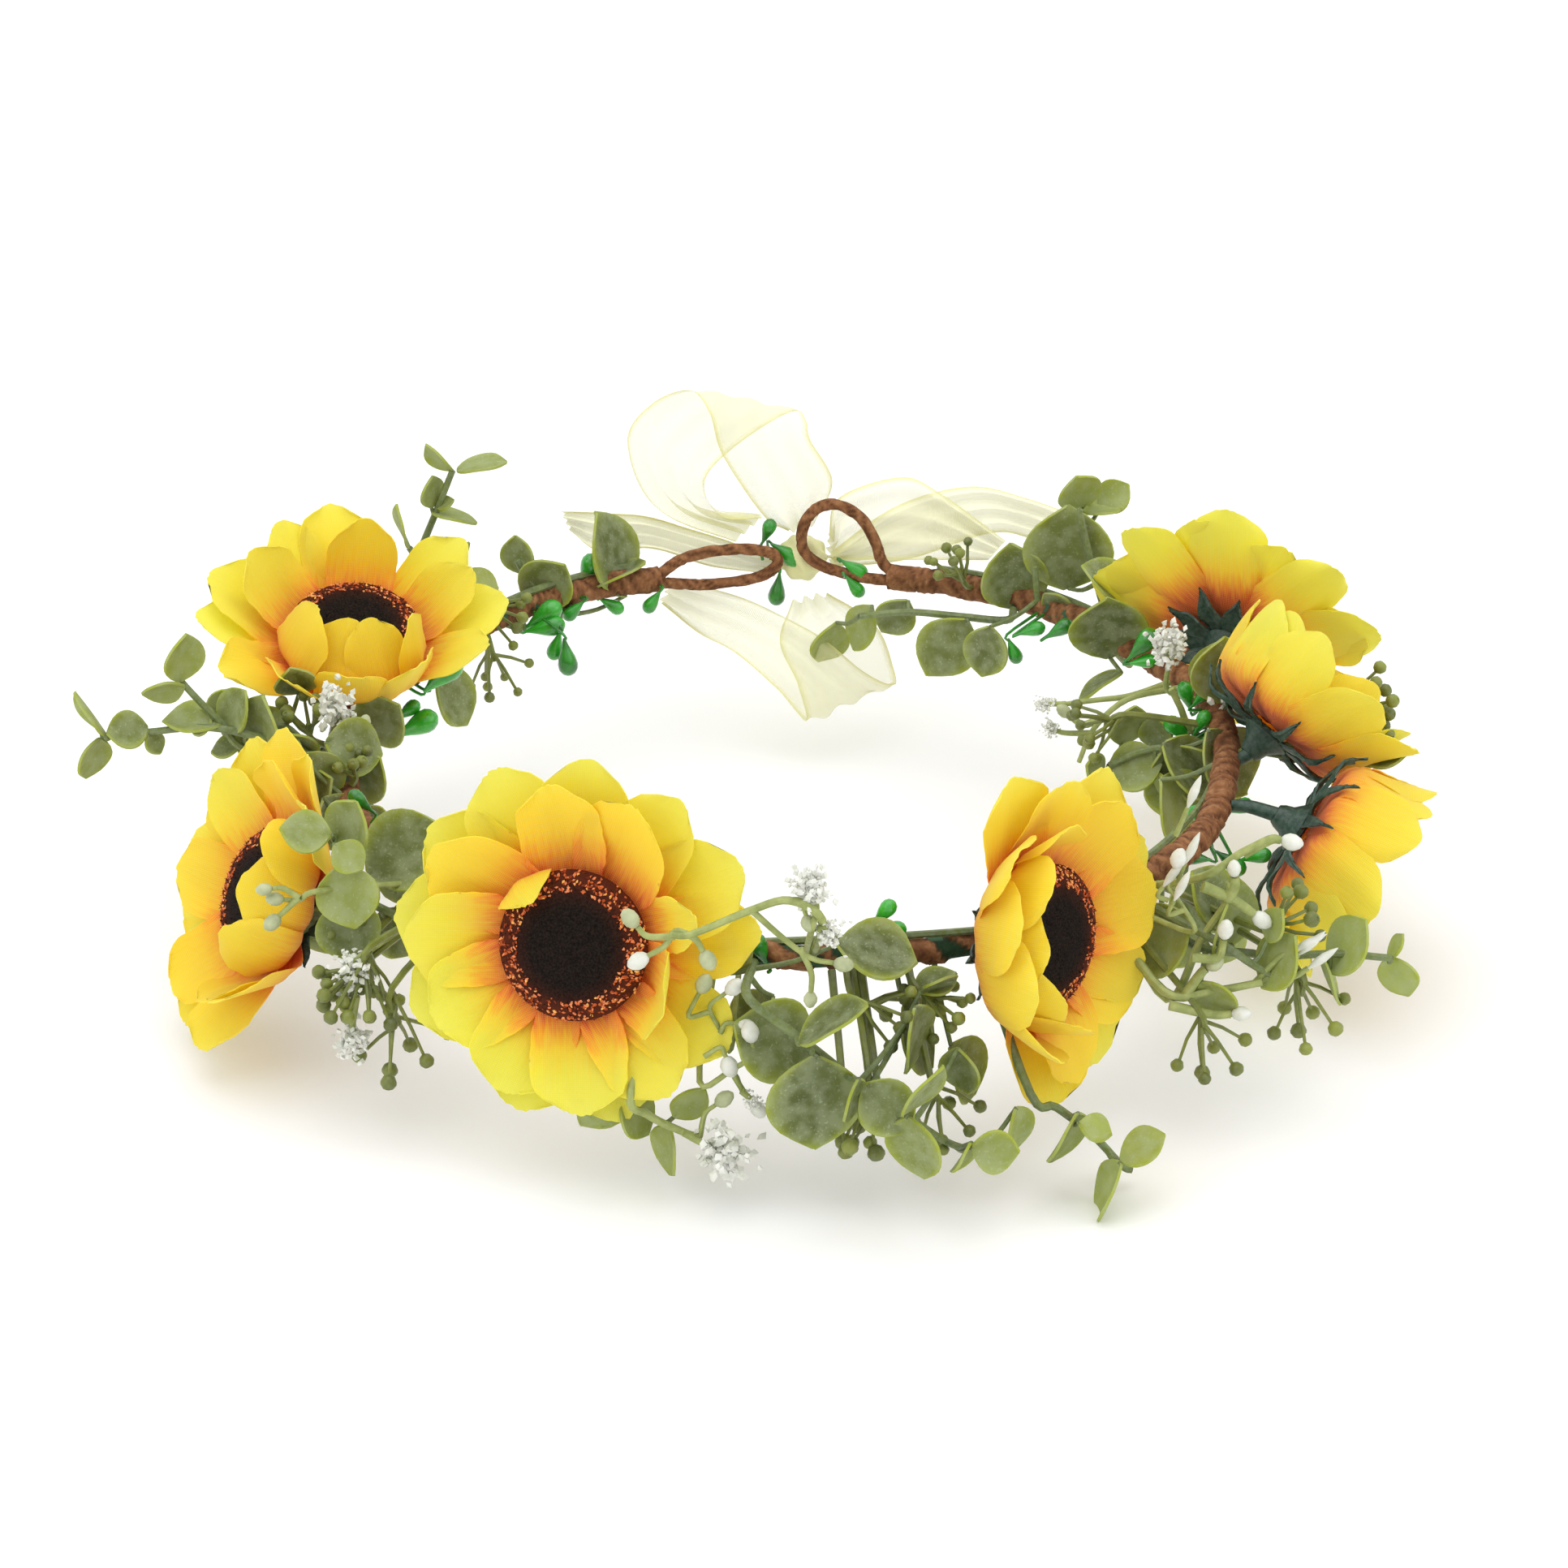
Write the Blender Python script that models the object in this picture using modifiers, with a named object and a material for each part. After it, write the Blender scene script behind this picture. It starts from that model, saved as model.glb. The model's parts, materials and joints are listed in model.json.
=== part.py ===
"""A flower crown: a paper-wrapped wire band that carries sunflowers, foliage and a ribbon tie.

Metres and degrees, +Z up. The origin is the centre of the band's circle, in the band's
plane, and +Y points at the back of the head, where the ribbon closes the band. Each
sunflower's head turns on the peg of its calyx. A place on the band is an angle about +Z,
counted from +X, and a turn round the wire: 0 is outwards, 90 up and 180 inwards.
"""

import math
from typing import NamedTuple

import bmesh
import bpy
from mathutils import Matrix, Vector

# Band
BAND_RADIUS = 0.093
BAND_OPENING = 0.05357
BAND_OPENING_MIDDLE = 91.5
BAND_START = BAND_OPENING_MIDDLE + math.degrees(BAND_OPENING / 2 / BAND_RADIUS)
BAND_END = BAND_OPENING_MIDDLE + 360.0 - math.degrees(BAND_OPENING / 2 / BAND_RADIUS)
BAND_STEPS = 30
WIRE_RADIUS = 0.0008
TAPE_WALL = 0.0008
WRAP_WALL = 0.0011
FIT_GAP = 0.0003
TAPE_RADIUS = WIRE_RADIUS + FIT_GAP + TAPE_WALL
WRAP_RADIUS = TAPE_RADIUS + FIT_GAP + WRAP_WALL
EYE_WIRE_RADIUS = 0.0013

# Sunflower
STEM_RADIUS = 0.0012
PEG_RADIUS = 0.0012
PEG_TOP = 0.006
HUB_RADIUS = 0.0055
HUB_FOOT_RADIUS = 0.0032
HUB_HEIGHT = 0.0035
HUB_TOP = -0.0022
SEPAL_COUNT = 10
SEPAL_REACH = 0.016
SEPAL_NOTCH = 0.008
SEPAL_THICKNESS = 0.0008
PETAL_COUNT = 8
PETAL_THICKNESS = 0.0005
SEED_RADIUS = 0.0155
SEED_OVERHANG = 0.001
PETAL_FLAT_RADIUS = SEED_RADIUS - SEED_OVERHANG
PETAL_LAYER_STEP = 0.0022
PETAL_NOTCH_SHARE = 0.36
FRONT_LAYER_SHARE = 0.84
TURN_GAP = 0.0004
SEED_HEIGHT = 0.0052
SEED_GAP = 0.0008

# Foliage
LEAF_THICKNESS = 0.0008
LEAF_WIDTH_SHARE = 0.8
LEAF_SPREAD = 60.0
LEAF_TAPER = 0.5
TWIG_RADIUS = 0.0006
SPRIG_STEM_RADIUS = 0.0007

# Ribbon
RIBBON_THICKNESS = 0.0005
KNOT_SIZE = (0.0052, 0.0036, 0.0052)
KNOT_PLACE = (87.56, 0.0056, 0.001)

FACE_UP = Vector((0.0, 0.0, 1.0))


class Sunflower(NamedTuple):
    """A head: its place by the band as (angle, out, up), its facing, its reach and its cup."""

    place: tuple
    azimuth: float
    elevation: float
    reach: float
    cup: float


class Sprig(NamedTuple):
    """A leafy or budded stem: its root, then its bend and its tip as (angle, out, up)."""

    root: tuple
    bend: tuple
    tip: tuple
    count: int
    size: float


class Spray(NamedTuple):
    """How the twigs of one kind of budded stem look."""

    twig: float
    stretch: float
    first: float


SUNFLOWERS = (
    Sunflower((-111.5, 0.0134, 0.007), -103.0, 18.0, 0.036, 14.0),
    Sunflower((-63.19, 0.0112, 0.005), -42.0, 10.0, 0.036, 14.0),
    Sunflower((-152.76, 0.0206, -0.009), -148.0, 28.0, 0.0325, 35.0),
    Sunflower((165.38, 0.0021, 0.0125), -80.0, 66.0, 0.029, 45.0),
    Sunflower((23.69, 0.0140, 0.006), 60.0, 22.0, 0.036, 14.0),
    Sunflower((-1.67, 0.0100, 0.007), 30.0, 38.0, 0.024, 59.0),
    Sunflower((-16.02, 0.0194, -0.005), -15.0, -28.0, 0.027, 55.0),
)

EUCALYPTUS = {
    "eucalyptus_back_left_tall": Sprig((141.0, 60.0), (137.59, 0.0167, 0.012), (132.74, 0.0146, 0.034), 4, 0.011),
    "eucalyptus_back_left": Sprig((136.0, 60.0), (124.62, 0.0091, 0.013), (112.13, 0.0052, 0.012), 4, 0.012),
    "eucalyptus_left_low": Sprig((183.0, 0.0), (-178.06, 0.0251, 0.004), (-175.94, 0.0484, 0.008), 4, 0.009),
    "eucalyptus_left_high": Sprig((177.0, 50.0), (-176.42, 0.0192, 0.009), (-176.82, 0.0332, 0.023), 3, 0.009),
    "eucalyptus_left": Sprig((192.0, 110.0), (-161.57, 0.0019, 0.014), (-151.53, 0.0014, 0.014), 3, 0.013),
    "eucalyptus_left_front": Sprig((217.0, 20.0), (-136.95, 0.0110, 0.004), (-134.33, 0.0272, 0.01), 3, 0.010),
    "eucalyptus_front": Sprig((-92.0, -20.0), (-85.95, 0.0203, -0.008), (-75.12, 0.0394, -0.02), 5, 0.013),
    "eucalyptus_front_right": Sprig((-70.0, -80.0), (-63.95, 0.0072, -0.04), (-61.03, 0.0350, -0.036), 4, 0.009),
    "eucalyptus_right_low": Sprig((-40.0, -20.0), (-39.69, 0.0291, -0.008), (-30.2, 0.0482, -0.013), 4, 0.010),
    "eucalyptus_right_inner": Sprig((12.0, 190.0), (8.53, -0.0121, -0.008), (6.91, -0.0265, -0.01), 3, 0.011),
    "eucalyptus_right_high": Sprig((44.0, 70.0), (48.47, 0.0005, 0.012), (52.03, 0.0110, 0.026), 3, 0.014),
    "eucalyptus_back_right": Sprig((52.0, 215.0), (59.39, -0.0105, -0.007), (71.57, -0.0108, -0.008), 3, 0.012),
}

BABYS_BREATH = {
    "babys_breath_left": Sprig((192.0, 60.0), (-167.59, 0.0094, 0.011), (-170.06, 0.0055, 0.02), 4, 0.0022),
    "babys_breath_front": Sprig((-88.0, 30.0), (-90.92, 0.0310, 0.016), (-102.53, 0.0269, 0.009), 4, 0.0015),
    "babys_breath_front_low": Sprig((-97.0, -80.0), (-101.6, 0.0053, -0.0243), (-95.8, 0.0153, -0.0312), 4, 0.0020),
    "babys_breath_right": Sprig((-38.0, 40.0), (-42.21, 0.0231, -0.002), (-40.29, 0.0276, 0.012), 5, 0.0015),
}
BABYS_BREATH_SPRAY = Spray(0.007, 1.6, 0.35)

SEED_SPRIGS = {
    "seed_sprig_left": Sprig((222.0, -70.0), (-133.53, 0.0173, -0.012), (-130.06, 0.0220, -0.026), 5, 0.0015),
    "seed_sprig_front": Sprig((-86.0, -70.0), (-85.6, 0.0113, -0.024), (-83.99, 0.0216, -0.027), 5, 0.0015),
    "seed_sprig_right": Sprig((-44.0, -70.0), (-39.69, 0.0291, -0.014), (-41.27, 0.0374, -0.022), 5, 0.0015),
}
SEED_SPRAY = Spray(0.005, 1.0, 0.45)

# Stems that run beside the band: first and last angle, turn round the wire, pips.
PIP_GARLANDS = {
    "pip_garland_left": (172.0, 112.0, 160.0, 11),
    "pip_garland_right": (58.0, -24.0, 165.0, 11),
}
PIP_SIZE = 0.0018
PIP_STRETCH = 1.9
PIP_TWIG = 0.0035

# Wire eyes: the band's end and the way on from it, the centre seen from there as (on, out, up),
# half the length, half the height, heading of the long side.
TIE_EYES = {
    "tie_eye_left": (BAND_START, -90.0, (0.0145, -0.0005, 0.0), 0.0135, 0.0042, -10.5),
    "tie_eye_right": (BAND_END, 90.0, (0.0119, -0.0004, 0.0082), 0.0090, 0.0085, -9.0),
}

# Ribbon runs: the middle of the ribbon, seen from the knot, and half of its width.
RIBBON_RUNS = {
    "ribbon_loop_top": (
        ((-0.0122, 0.0055, 0.0050), (0.003, -0.001, 0.003)),
        ((-0.0262, 0.0075, 0.0090), (0.008, -0.003, 0.000)),
        ((-0.0312, 0.0090, 0.0200), (0.009, -0.005, -0.003)),
        ((-0.0252, 0.0105, 0.0280), (0.009, -0.004, -0.004)),
        ((-0.0142, 0.0095, 0.0350), (0.012, -0.001, -0.002)),
        ((-0.0102, 0.0045, 0.0330), (0.011, 0.000, -0.001)),
        ((-0.0082, 0.0020, 0.0260), (0.010, 0.000, 0.002)),
        ((-0.0012, 0.0010, 0.0140), (0.008, 0.000, 0.004)),
        ((-0.0002, 0.0005, 0.0070), (0.003, 0.000, 0.001)),
    ),
    "ribbon_loop_low": (
        ((-0.0312, 0.0005, -0.0090), (0.002, 0.000, 0.003)),
        ((-0.0182, -0.0065, -0.0120), (0.006, 0.000, 0.004)),
        ((-0.0062, -0.0145, -0.0150), (0.009, 0.001, 0.002)),
        ((0.0038, -0.0190, -0.0220), (0.010, 0.002, 0.001)),
        ((0.0108, -0.0185, -0.0285), (0.010, 0.003, 0.003)),
        ((0.0098, -0.0150, -0.0230), (0.011, 0.003, 0.001)),
        ((0.0058, -0.0100, -0.0150), (0.011, 0.002, 0.001)),
        ((0.0018, -0.0030, -0.0090), (0.004, 0.000, 0.001)),
    ),
    "ribbon_loop_right": (
        ((0.0063, 0.0005, 0.0020), (0.000, 0.000, 0.003)),
        ((0.0108, 0.0025, 0.0060), (-0.002, 0.002, 0.007)),
        ((0.0218, 0.0035, 0.0080), (0.001, 0.003, 0.009)),
        ((0.0318, 0.0035, 0.0060), (0.000, 0.003, 0.007)),
        ((0.0448, 0.0015, 0.0010), (0.002, 0.001, 0.002)),
    ),
    "ribbon_tail_right": (
        ((0.0068, 0.0045, -0.0030), (0.000, 0.000, 0.002)),
        ((0.0238, 0.0100, 0.0020), (-0.001, 0.002, 0.006)),
        ((0.0408, 0.0085, 0.0080), (-0.002, 0.002, 0.005)),
        ((0.0518, 0.0065, 0.0070), (0.000, 0.002, 0.004)),
        ((0.0638, 0.0015, 0.0040), (0.001, 0.002, 0.004)),
    ),
    "ribbon_tail_left": (
        ((-0.0062, 0.0000, -0.0020), (0.000, 0.000, 0.002)),
        ((-0.0212, 0.0010, 0.0010), (0.000, 0.002, 0.003)),
        ((-0.0352, 0.0020, 0.0050), (0.000, 0.002, 0.003)),
        ((-0.0462, 0.0025, 0.0050), (0.000, 0.002, 0.004)),
        ((-0.0542, 0.0045, 0.0070), (-0.001, 0.001, 0.002)),
    ),
}

# Colour, roughness and metallic value of each material.
MATERIALS = {
    "steel_wire": ((0.45, 0.45, 0.47), 0.35, 1.0),
    "floral_tape": ((0.03, 0.09, 0.04), 0.65, 0.0),
    "paper_wrap": ((0.22, 0.10, 0.05), 0.85, 0.0),
    "calyx_plastic": ((0.01, 0.07, 0.05), 0.45, 0.0),
    "petal_fabric": ((0.95, 0.62, 0.03), 0.7, 0.0),
    "seed_flock": ((0.05, 0.02, 0.01), 0.95, 0.0),
    "leaf_plastic": ((0.16, 0.22, 0.10), 0.7, 0.0),
    "bud_plastic": ((0.62, 0.72, 0.45), 0.5, 0.0),
    "seed_plastic": ((0.14, 0.19, 0.05), 0.55, 0.0),
    "pip_plastic": ((0.02, 0.28, 0.05), 0.15, 0.0),
    "organza": ((0.95, 0.93, 0.62), 0.4, 0.0),
}


def clear_scene():
    """Removes every object that the scene starts with."""
    for obj in list(bpy.data.objects):
        bpy.data.objects.remove(obj, do_unlink=True)


def make_collection(name):
    """Adds a collection under the scene's own."""
    collection = bpy.data.collections.new(name)
    bpy.context.scene.collection.children.link(collection)
    return collection


def make_materials():
    """A Principled material for each finish, by name."""
    made = {}
    for name, (colour, roughness, metallic) in MATERIALS.items():
        material = bpy.data.materials.new(name)
        material.use_nodes = True
        shader = material.node_tree.nodes["Principled BSDF"]
        shader.inputs["Base Color"].default_value = (*colour, 1.0)
        shader.inputs["Roughness"].default_value = roughness
        shader.inputs["Metallic"].default_value = metallic
        made[name] = material
    return made


clear_scene()
PARTS = make_collection("flower_crown")
CUTTERS = make_collection("flower_crown_joining_pieces")
FINISHES = make_materials()


def add_part(name, data, finish, parent=None):
    """Puts a mesh or a curve in the crown as a named part with its material."""
    obj = bpy.data.objects.new(name, data)
    data.materials.clear()
    data.materials.append(FINISHES[finish])
    PARTS.objects.link(obj)
    obj.parent = parent
    return obj


def unite(part, data):
    """Unites a part with the closed shapes of a mesh that is given in the part's own space."""
    helper = bpy.data.objects.new(part.name + "_joined", data)
    CUTTERS.objects.link(helper)
    helper.parent = part.parent
    helper.hide_render = True
    helper.display_type = "WIRE"
    modifier = part.modifiers.new("Unite", "BOOLEAN")
    modifier.operation = "UNION"
    modifier.solver = "EXACT"
    modifier.use_self = True
    modifier.object = helper


def solidify(part, thickness, offset=0.0):
    """Gives an open surface its thickness."""
    modifier = part.modifiers.new("Thickness", "SOLIDIFY")
    modifier.thickness = thickness
    modifier.offset = offset


def heading(azimuth, elevation=0.0):
    """The unit vector of a direction given by two angles."""
    flat = math.cos(math.radians(elevation))
    turn = math.radians(azimuth)
    return Vector((flat * math.cos(turn), flat * math.sin(turn), math.sin(math.radians(elevation))))


def beside_band(angle, turn=0.0, distance=0.0):
    """A point at this distance from the band's centre line."""
    out = distance * math.cos(math.radians(turn))
    up = distance * math.sin(math.radians(turn))
    return heading(angle) * (BAND_RADIUS + out) + FACE_UP * up


def by_band(place):
    """The point that lies this far (out, up) from the band's centre line at an angle."""
    angle, out, up = place
    return heading(angle) * (BAND_RADIUS + out) + FACE_UP * up


def bend_through(start, bend, end, steps):
    """Points and headings along the curve that leaves start towards bend and reaches end."""
    places = []
    for step in range(steps + 1):
        t = step / steps
        point = start * (1 - t) ** 2 + bend * (2 * t * (1 - t)) + end * t**2
        along = ((bend - start) * (1 - t) + (end - bend) * t).normalized()
        places.append((point, along))
    return places


def tube_data(name, runs, radius, sides=6, closed=False, capped=True):
    """A curve whose round section follows each run of points."""
    data = bpy.data.curves.new(name, "CURVE")
    data.dimensions = "3D"
    data.bevel_depth = radius
    data.bevel_resolution = (sides - 4) // 2
    data.use_fill_caps = capped
    for run in runs:
        spline = data.splines.new("POLY")
        spline.points.add(len(run) - 1)
        for point, place in zip(spline.points, run):
            point.co = (*place, 1.0)
        spline.use_cyclic_u = closed
    return data


def as_mesh(name, curve_data):
    """The mesh of a curve, with its caps welded to its sides."""
    carrier = bpy.data.objects.new(name, curve_data)
    CUTTERS.objects.link(carrier)
    bpy.context.view_layer.update()
    graph = bpy.context.evaluated_depsgraph_get()
    mesh = bpy.data.meshes.new_from_object(carrier.evaluated_get(graph))
    shape = bmesh.new()
    shape.from_mesh(mesh)
    bmesh.ops.remove_doubles(shape, verts=shape.verts, dist=1e-6)
    shape.to_mesh(mesh)
    shape.free()
    mesh.name = name
    bpy.data.objects.remove(carrier)
    bpy.data.curves.remove(curve_data)
    return mesh


def outline_mesh(name, outline, thickness):
    """A flat closed outline with an even thickness about its plane."""
    data = bpy.data.curves.new(name, "CURVE")
    data.dimensions = "2D"
    data.fill_mode = "BOTH"
    data.extrude = thickness / 2
    spline = data.splines.new("POLY")
    spline.points.add(len(outline) - 1)
    for point, (x, y) in zip(spline.points, outline):
        point.co = (x, y, 0.0, 1.0)
    spline.use_cyclic_u = True
    return as_mesh(name, data)


def turned_mesh(name, profile, steps):
    """An open profile of (radius, height) points, from top to bottom, for a Screw modifier."""
    mesh = bpy.data.meshes.new(name)
    edges = [(i, i + 1) for i in range(len(profile) - 1)]
    mesh.from_pydata([(radius, 0.0, height) for radius, height in profile], edges, [])
    carrier = bpy.data.objects.new(name, mesh)
    CUTTERS.objects.link(carrier)
    screw = carrier.modifiers.new("Turn", "SCREW")
    screw.steps = steps
    screw.render_steps = steps
    screw.use_merge_vertices = True
    screw.merge_threshold = 0.0001
    bpy.context.view_layer.update()
    graph = bpy.context.evaluated_depsgraph_get()
    turned = bpy.data.meshes.new_from_object(carrier.evaluated_get(graph))
    turned.name = name
    bpy.data.objects.remove(carrier)
    return turned


def mapped_grid(name, columns, rows, place, closed=False):
    """A grid of columns and rows, each point put where place(column, row) says."""
    shape = bmesh.new()
    bmesh.ops.create_grid(shape, x_segments=columns, y_segments=rows, size=0.5)
    for vert in shape.verts:
        column = round((vert.co.x + 0.5) * columns)
        row = round((vert.co.y + 0.5) * rows)
        vert.co = place(column, row)
    if closed:
        bmesh.ops.remove_doubles(shape, verts=shape.verts, dist=1e-6)
    mesh = bpy.data.meshes.new(name)
    shape.to_mesh(mesh)
    shape.free()
    return mesh


def build_band():
    """The steel wire, its tape and the paper twist over it, one inside the other."""
    span = BAND_END - BAND_START
    route = [beside_band(BAND_START + span * i / BAND_STEPS) for i in range(BAND_STEPS + 1)]
    add_part("band_wire", tube_data("band_wire", [route], WIRE_RADIUS), "steel_wire")
    for name, radius, wall, finish in (
        ("band_tape", TAPE_RADIUS, TAPE_WALL, "floral_tape"),
        ("band_paper_wrap", WRAP_RADIUS, WRAP_WALL, "paper_wrap"),
    ):
        sleeve = as_mesh(name, tube_data(name, [route], radius, capped=False))
        solidify(add_part(name, sleeve, finish), wall, offset=-1.0)


def build_tie_eyes():
    """The closed wire eyes at the band's ends that the ribbon passes through."""
    steps = 16
    for name, (end, way, (on, out, up), half_length, half_height, turn) in TIE_EYES.items():
        centre = by_band((end, out, up)) + heading(end + way) * on
        along = heading(turn)
        route = []
        for i in range(steps):
            angle = 2 * math.pi * i / steps
            away = along * (half_length * math.cos(angle)) + FACE_UP * (half_height * math.sin(angle))
            route.append(centre + away)
        eye = tube_data(name, [route], EYE_WIRE_RADIUS, closed=True)
        add_part(name, eye, "paper_wrap")


def petal_layer(name, reach, cup, height):
    """A lobed sheet with a hole for the peg: flat in the middle, then rising in a cone."""
    notch = PETAL_FLAT_RADIUS + (reach - PETAL_FLAT_RADIUS) * PETAL_NOTCH_SHARE
    columns_each = 3
    columns = PETAL_COUNT * columns_each
    slope = math.tan(math.radians(cup))
    hole = PEG_RADIUS + TURN_GAP

    def place(column, row):
        turn = 2 * math.pi * column / columns
        edge = reach if column % columns_each else notch
        radius = (hole, PETAL_FLAT_RADIUS, edge)[row]
        rise = max(radius - PETAL_FLAT_RADIUS, 0.0) * slope
        return Vector((radius * math.cos(turn), radius * math.sin(turn), height + rise))

    return mapped_grid(name, columns, 2, place, closed=True)


def build_calyx(name, flower, mount):
    """The green hub with its peg, the star of sepals under the petals, and the stem."""
    hub_foot = HUB_TOP - HUB_HEIGHT
    profile = (
        (0.0, PEG_TOP),
        (PEG_RADIUS, PEG_TOP),
        (PEG_RADIUS, HUB_TOP),
        (HUB_RADIUS, HUB_TOP),
        (HUB_FOOT_RADIUS, hub_foot),
        (0.0, hub_foot),
    )
    calyx = add_part(name, turned_mesh(name, profile, 10), "calyx_plastic", mount)
    star = []
    for i in range(2 * SEPAL_COUNT):
        turn = math.pi * i / SEPAL_COUNT
        reach = SEPAL_NOTCH if i % 2 else SEPAL_REACH
        star.append((reach * math.cos(turn), reach * math.sin(turn)))
    sepals = outline_mesh(name + "_sepals", star, SEPAL_THICKNESS)
    sepals.transform(Matrix.Translation((0.0, 0.0, HUB_TOP - SEPAL_THICKNESS)))
    unite(calyx, sepals)
    facing = heading(flower.azimuth, flower.elevation)
    start = by_band(flower.place) + facing * (hub_foot + SEPAL_THICKNESS)
    on_line = beside_band(math.degrees(math.atan2(start.y, start.x)))
    end = on_line + (start - on_line).normalized() * (WRAP_RADIUS + FIT_GAP)
    stem = as_mesh(name + "_stem", tube_data(name + "_stem", [(start, end)], STEM_RADIUS))
    stem.transform(mount.matrix_world.inverted())
    unite(calyx, stem)


def build_sunflower(number, flower):
    """A calyx on the band and the head of petals and seeds that turns on its peg."""
    mount = bpy.data.objects.new(f"flower_{number}_pivot", None)
    PARTS.objects.link(mount)
    turn = heading(flower.azimuth, flower.elevation).to_track_quat("Z", "Y").to_matrix().to_4x4()
    mount.matrix_world = Matrix.Translation(by_band(flower.place)) @ turn
    name = f"flower_{number}_"
    build_calyx(name + "calyx", flower, mount)
    back_height = HUB_TOP + TURN_GAP + PETAL_THICKNESS / 2
    front_height = back_height + PETAL_LAYER_STEP
    for layer, reach, height in (
        ("petals_back", flower.reach, back_height),
        ("petals_front", flower.reach * FRONT_LAYER_SHARE, front_height),
    ):
        sheet = petal_layer(name + layer, reach, flower.cup, height)
        solidify(add_part(name + layer, sheet, "petal_fabric", mount), PETAL_THICKNESS)
    foot = front_height + PETAL_THICKNESS / 2 + SEED_GAP
    bore = PEG_RADIUS + TURN_GAP
    profile = (
        (0.0, foot + SEED_HEIGHT),
        (0.6 * SEED_RADIUS, foot + 0.9 * SEED_HEIGHT),
        (SEED_RADIUS, foot + 0.5 * SEED_HEIGHT),
        (0.75 * SEED_RADIUS, foot),
        (bore, foot),
        (bore, PEG_TOP + TURN_GAP),
        (0.0, PEG_TOP + TURN_GAP),
    )
    disc = turned_mesh(name + "seed_disc", profile, 12)
    add_part(name + "seed_disc", disc, "seed_flock", mount)


def leaf_outline(length):
    """The points round a broad leaf that ends in a short tip."""
    width = length * LEAF_WIDTH_SHARE
    return (
        (0.0, -0.0004),
        (0.45 * length, -0.5 * width),
        (length, 0.0),
        (0.45 * length, 0.5 * width),
        (0.0, 0.0004),
    )


def side_of(along, quarter):
    """A direction square to a stem. Each leaf pair is a quarter turn from the last."""
    level = along.cross(FACE_UP).normalized()
    return Matrix.Rotation(math.radians(90.0 * quarter + 20.0), 3, along) @ level


def root_of(sprig, radius):
    """Where a stem starts, beside the paper twist."""
    angle, turn = sprig.root
    return beside_band(angle, turn, WRAP_RADIUS + FIT_GAP + radius)


def build_eucalyptus(name, sprig):
    """A stem with pairs of round leaves that get smaller towards its tip."""
    start = root_of(sprig, SPRIG_STEM_RADIUS)
    steps = sprig.count + 2
    route = bend_through(start, by_band(sprig.bend), by_band(sprig.tip), steps)
    stem = as_mesh(name, tube_data(name, [[point for point, along in route]], SPRIG_STEM_RADIUS, sides=4))
    stem_part = add_part(name, stem, "leaf_plastic")
    blade = outline_mesh(name + "_blade", leaf_outline(sprig.size), LEAF_THICKNESS)
    leaves = bmesh.new()
    spread = math.radians(LEAF_SPREAD)
    for pair in range(sprig.count):
        point, along = route[pair + 2]
        scale = 1.0 - LEAF_TAPER * pair / sprig.count
        for hand in (1.0, -1.0):
            side = side_of(along, pair) * hand
            out = (side * math.sin(spread) + along * math.cos(spread)).normalized()
            across = along.cross(side).normalized()
            turn = Matrix((out, across, out.cross(across))).transposed().to_4x4()
            seat = Matrix.Translation(point + side * (0.3 * SPRIG_STEM_RADIUS))
            leaf = blade.copy()
            leaf.transform(seat @ turn @ Matrix.Scale(scale, 4))
            leaves.from_mesh(leaf)
            bpy.data.meshes.remove(leaf)
    joined = bpy.data.meshes.new(name + "_leaves")
    leaves.to_mesh(joined)
    leaves.free()
    bpy.data.meshes.remove(blade)
    unite(stem_part, joined)


def build_spray(name, route, twigs, size, spray, finish):
    """A stem whose twigs each end in a bud, ball or pip. Each twig is (point, direction)."""
    stem = as_mesh(name, tube_data(name, [route], TWIG_RADIUS, sides=4))
    part = add_part(name, stem, finish)
    runs = [(point, point + out * spray.twig) for point, out in twigs]
    branches = as_mesh(name + "_twigs", tube_data(name + "_twigs", runs, TWIG_RADIUS * 0.8, sides=4))
    unite(part, branches)
    buds = bmesh.new()
    for point, out in twigs:
        seat = Matrix.Translation(point + out * (spray.twig + 0.4 * size * spray.stretch))
        turn = out.to_track_quat("Z", "Y").to_matrix().to_4x4()
        shape = Matrix.Diagonal((size, size, size * spray.stretch, 1.0))
        bmesh.ops.create_uvsphere(buds, u_segments=5, v_segments=3, radius=1.0, matrix=seat @ turn @ shape)
    heads = bpy.data.meshes.new(name + "_heads")
    buds.to_mesh(heads)
    buds.free()
    unite(part, heads)


def build_budded_sprig(name, sprig, spray, finish):
    """A spray on a bent stem, its twigs set round the stem's outer part and at its tip."""
    steps = sprig.count + 1
    places = bend_through(root_of(sprig, TWIG_RADIUS), by_band(sprig.bend), by_band(sprig.tip), steps)
    twigs = [places[-1]]
    for i in range(sprig.count - 1):
        share = spray.first + (0.92 - spray.first) * i / (sprig.count - 1)
        point, along = places[round(share * steps)]
        side = Matrix.Rotation(math.radians(137.5 * i), 3, along) @ along.cross(FACE_UP).normalized()
        twigs.append((point, (side + along * 0.8).normalized()))
    build_spray(name, [point for point, along in places], twigs, sprig.size, spray, finish)


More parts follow.
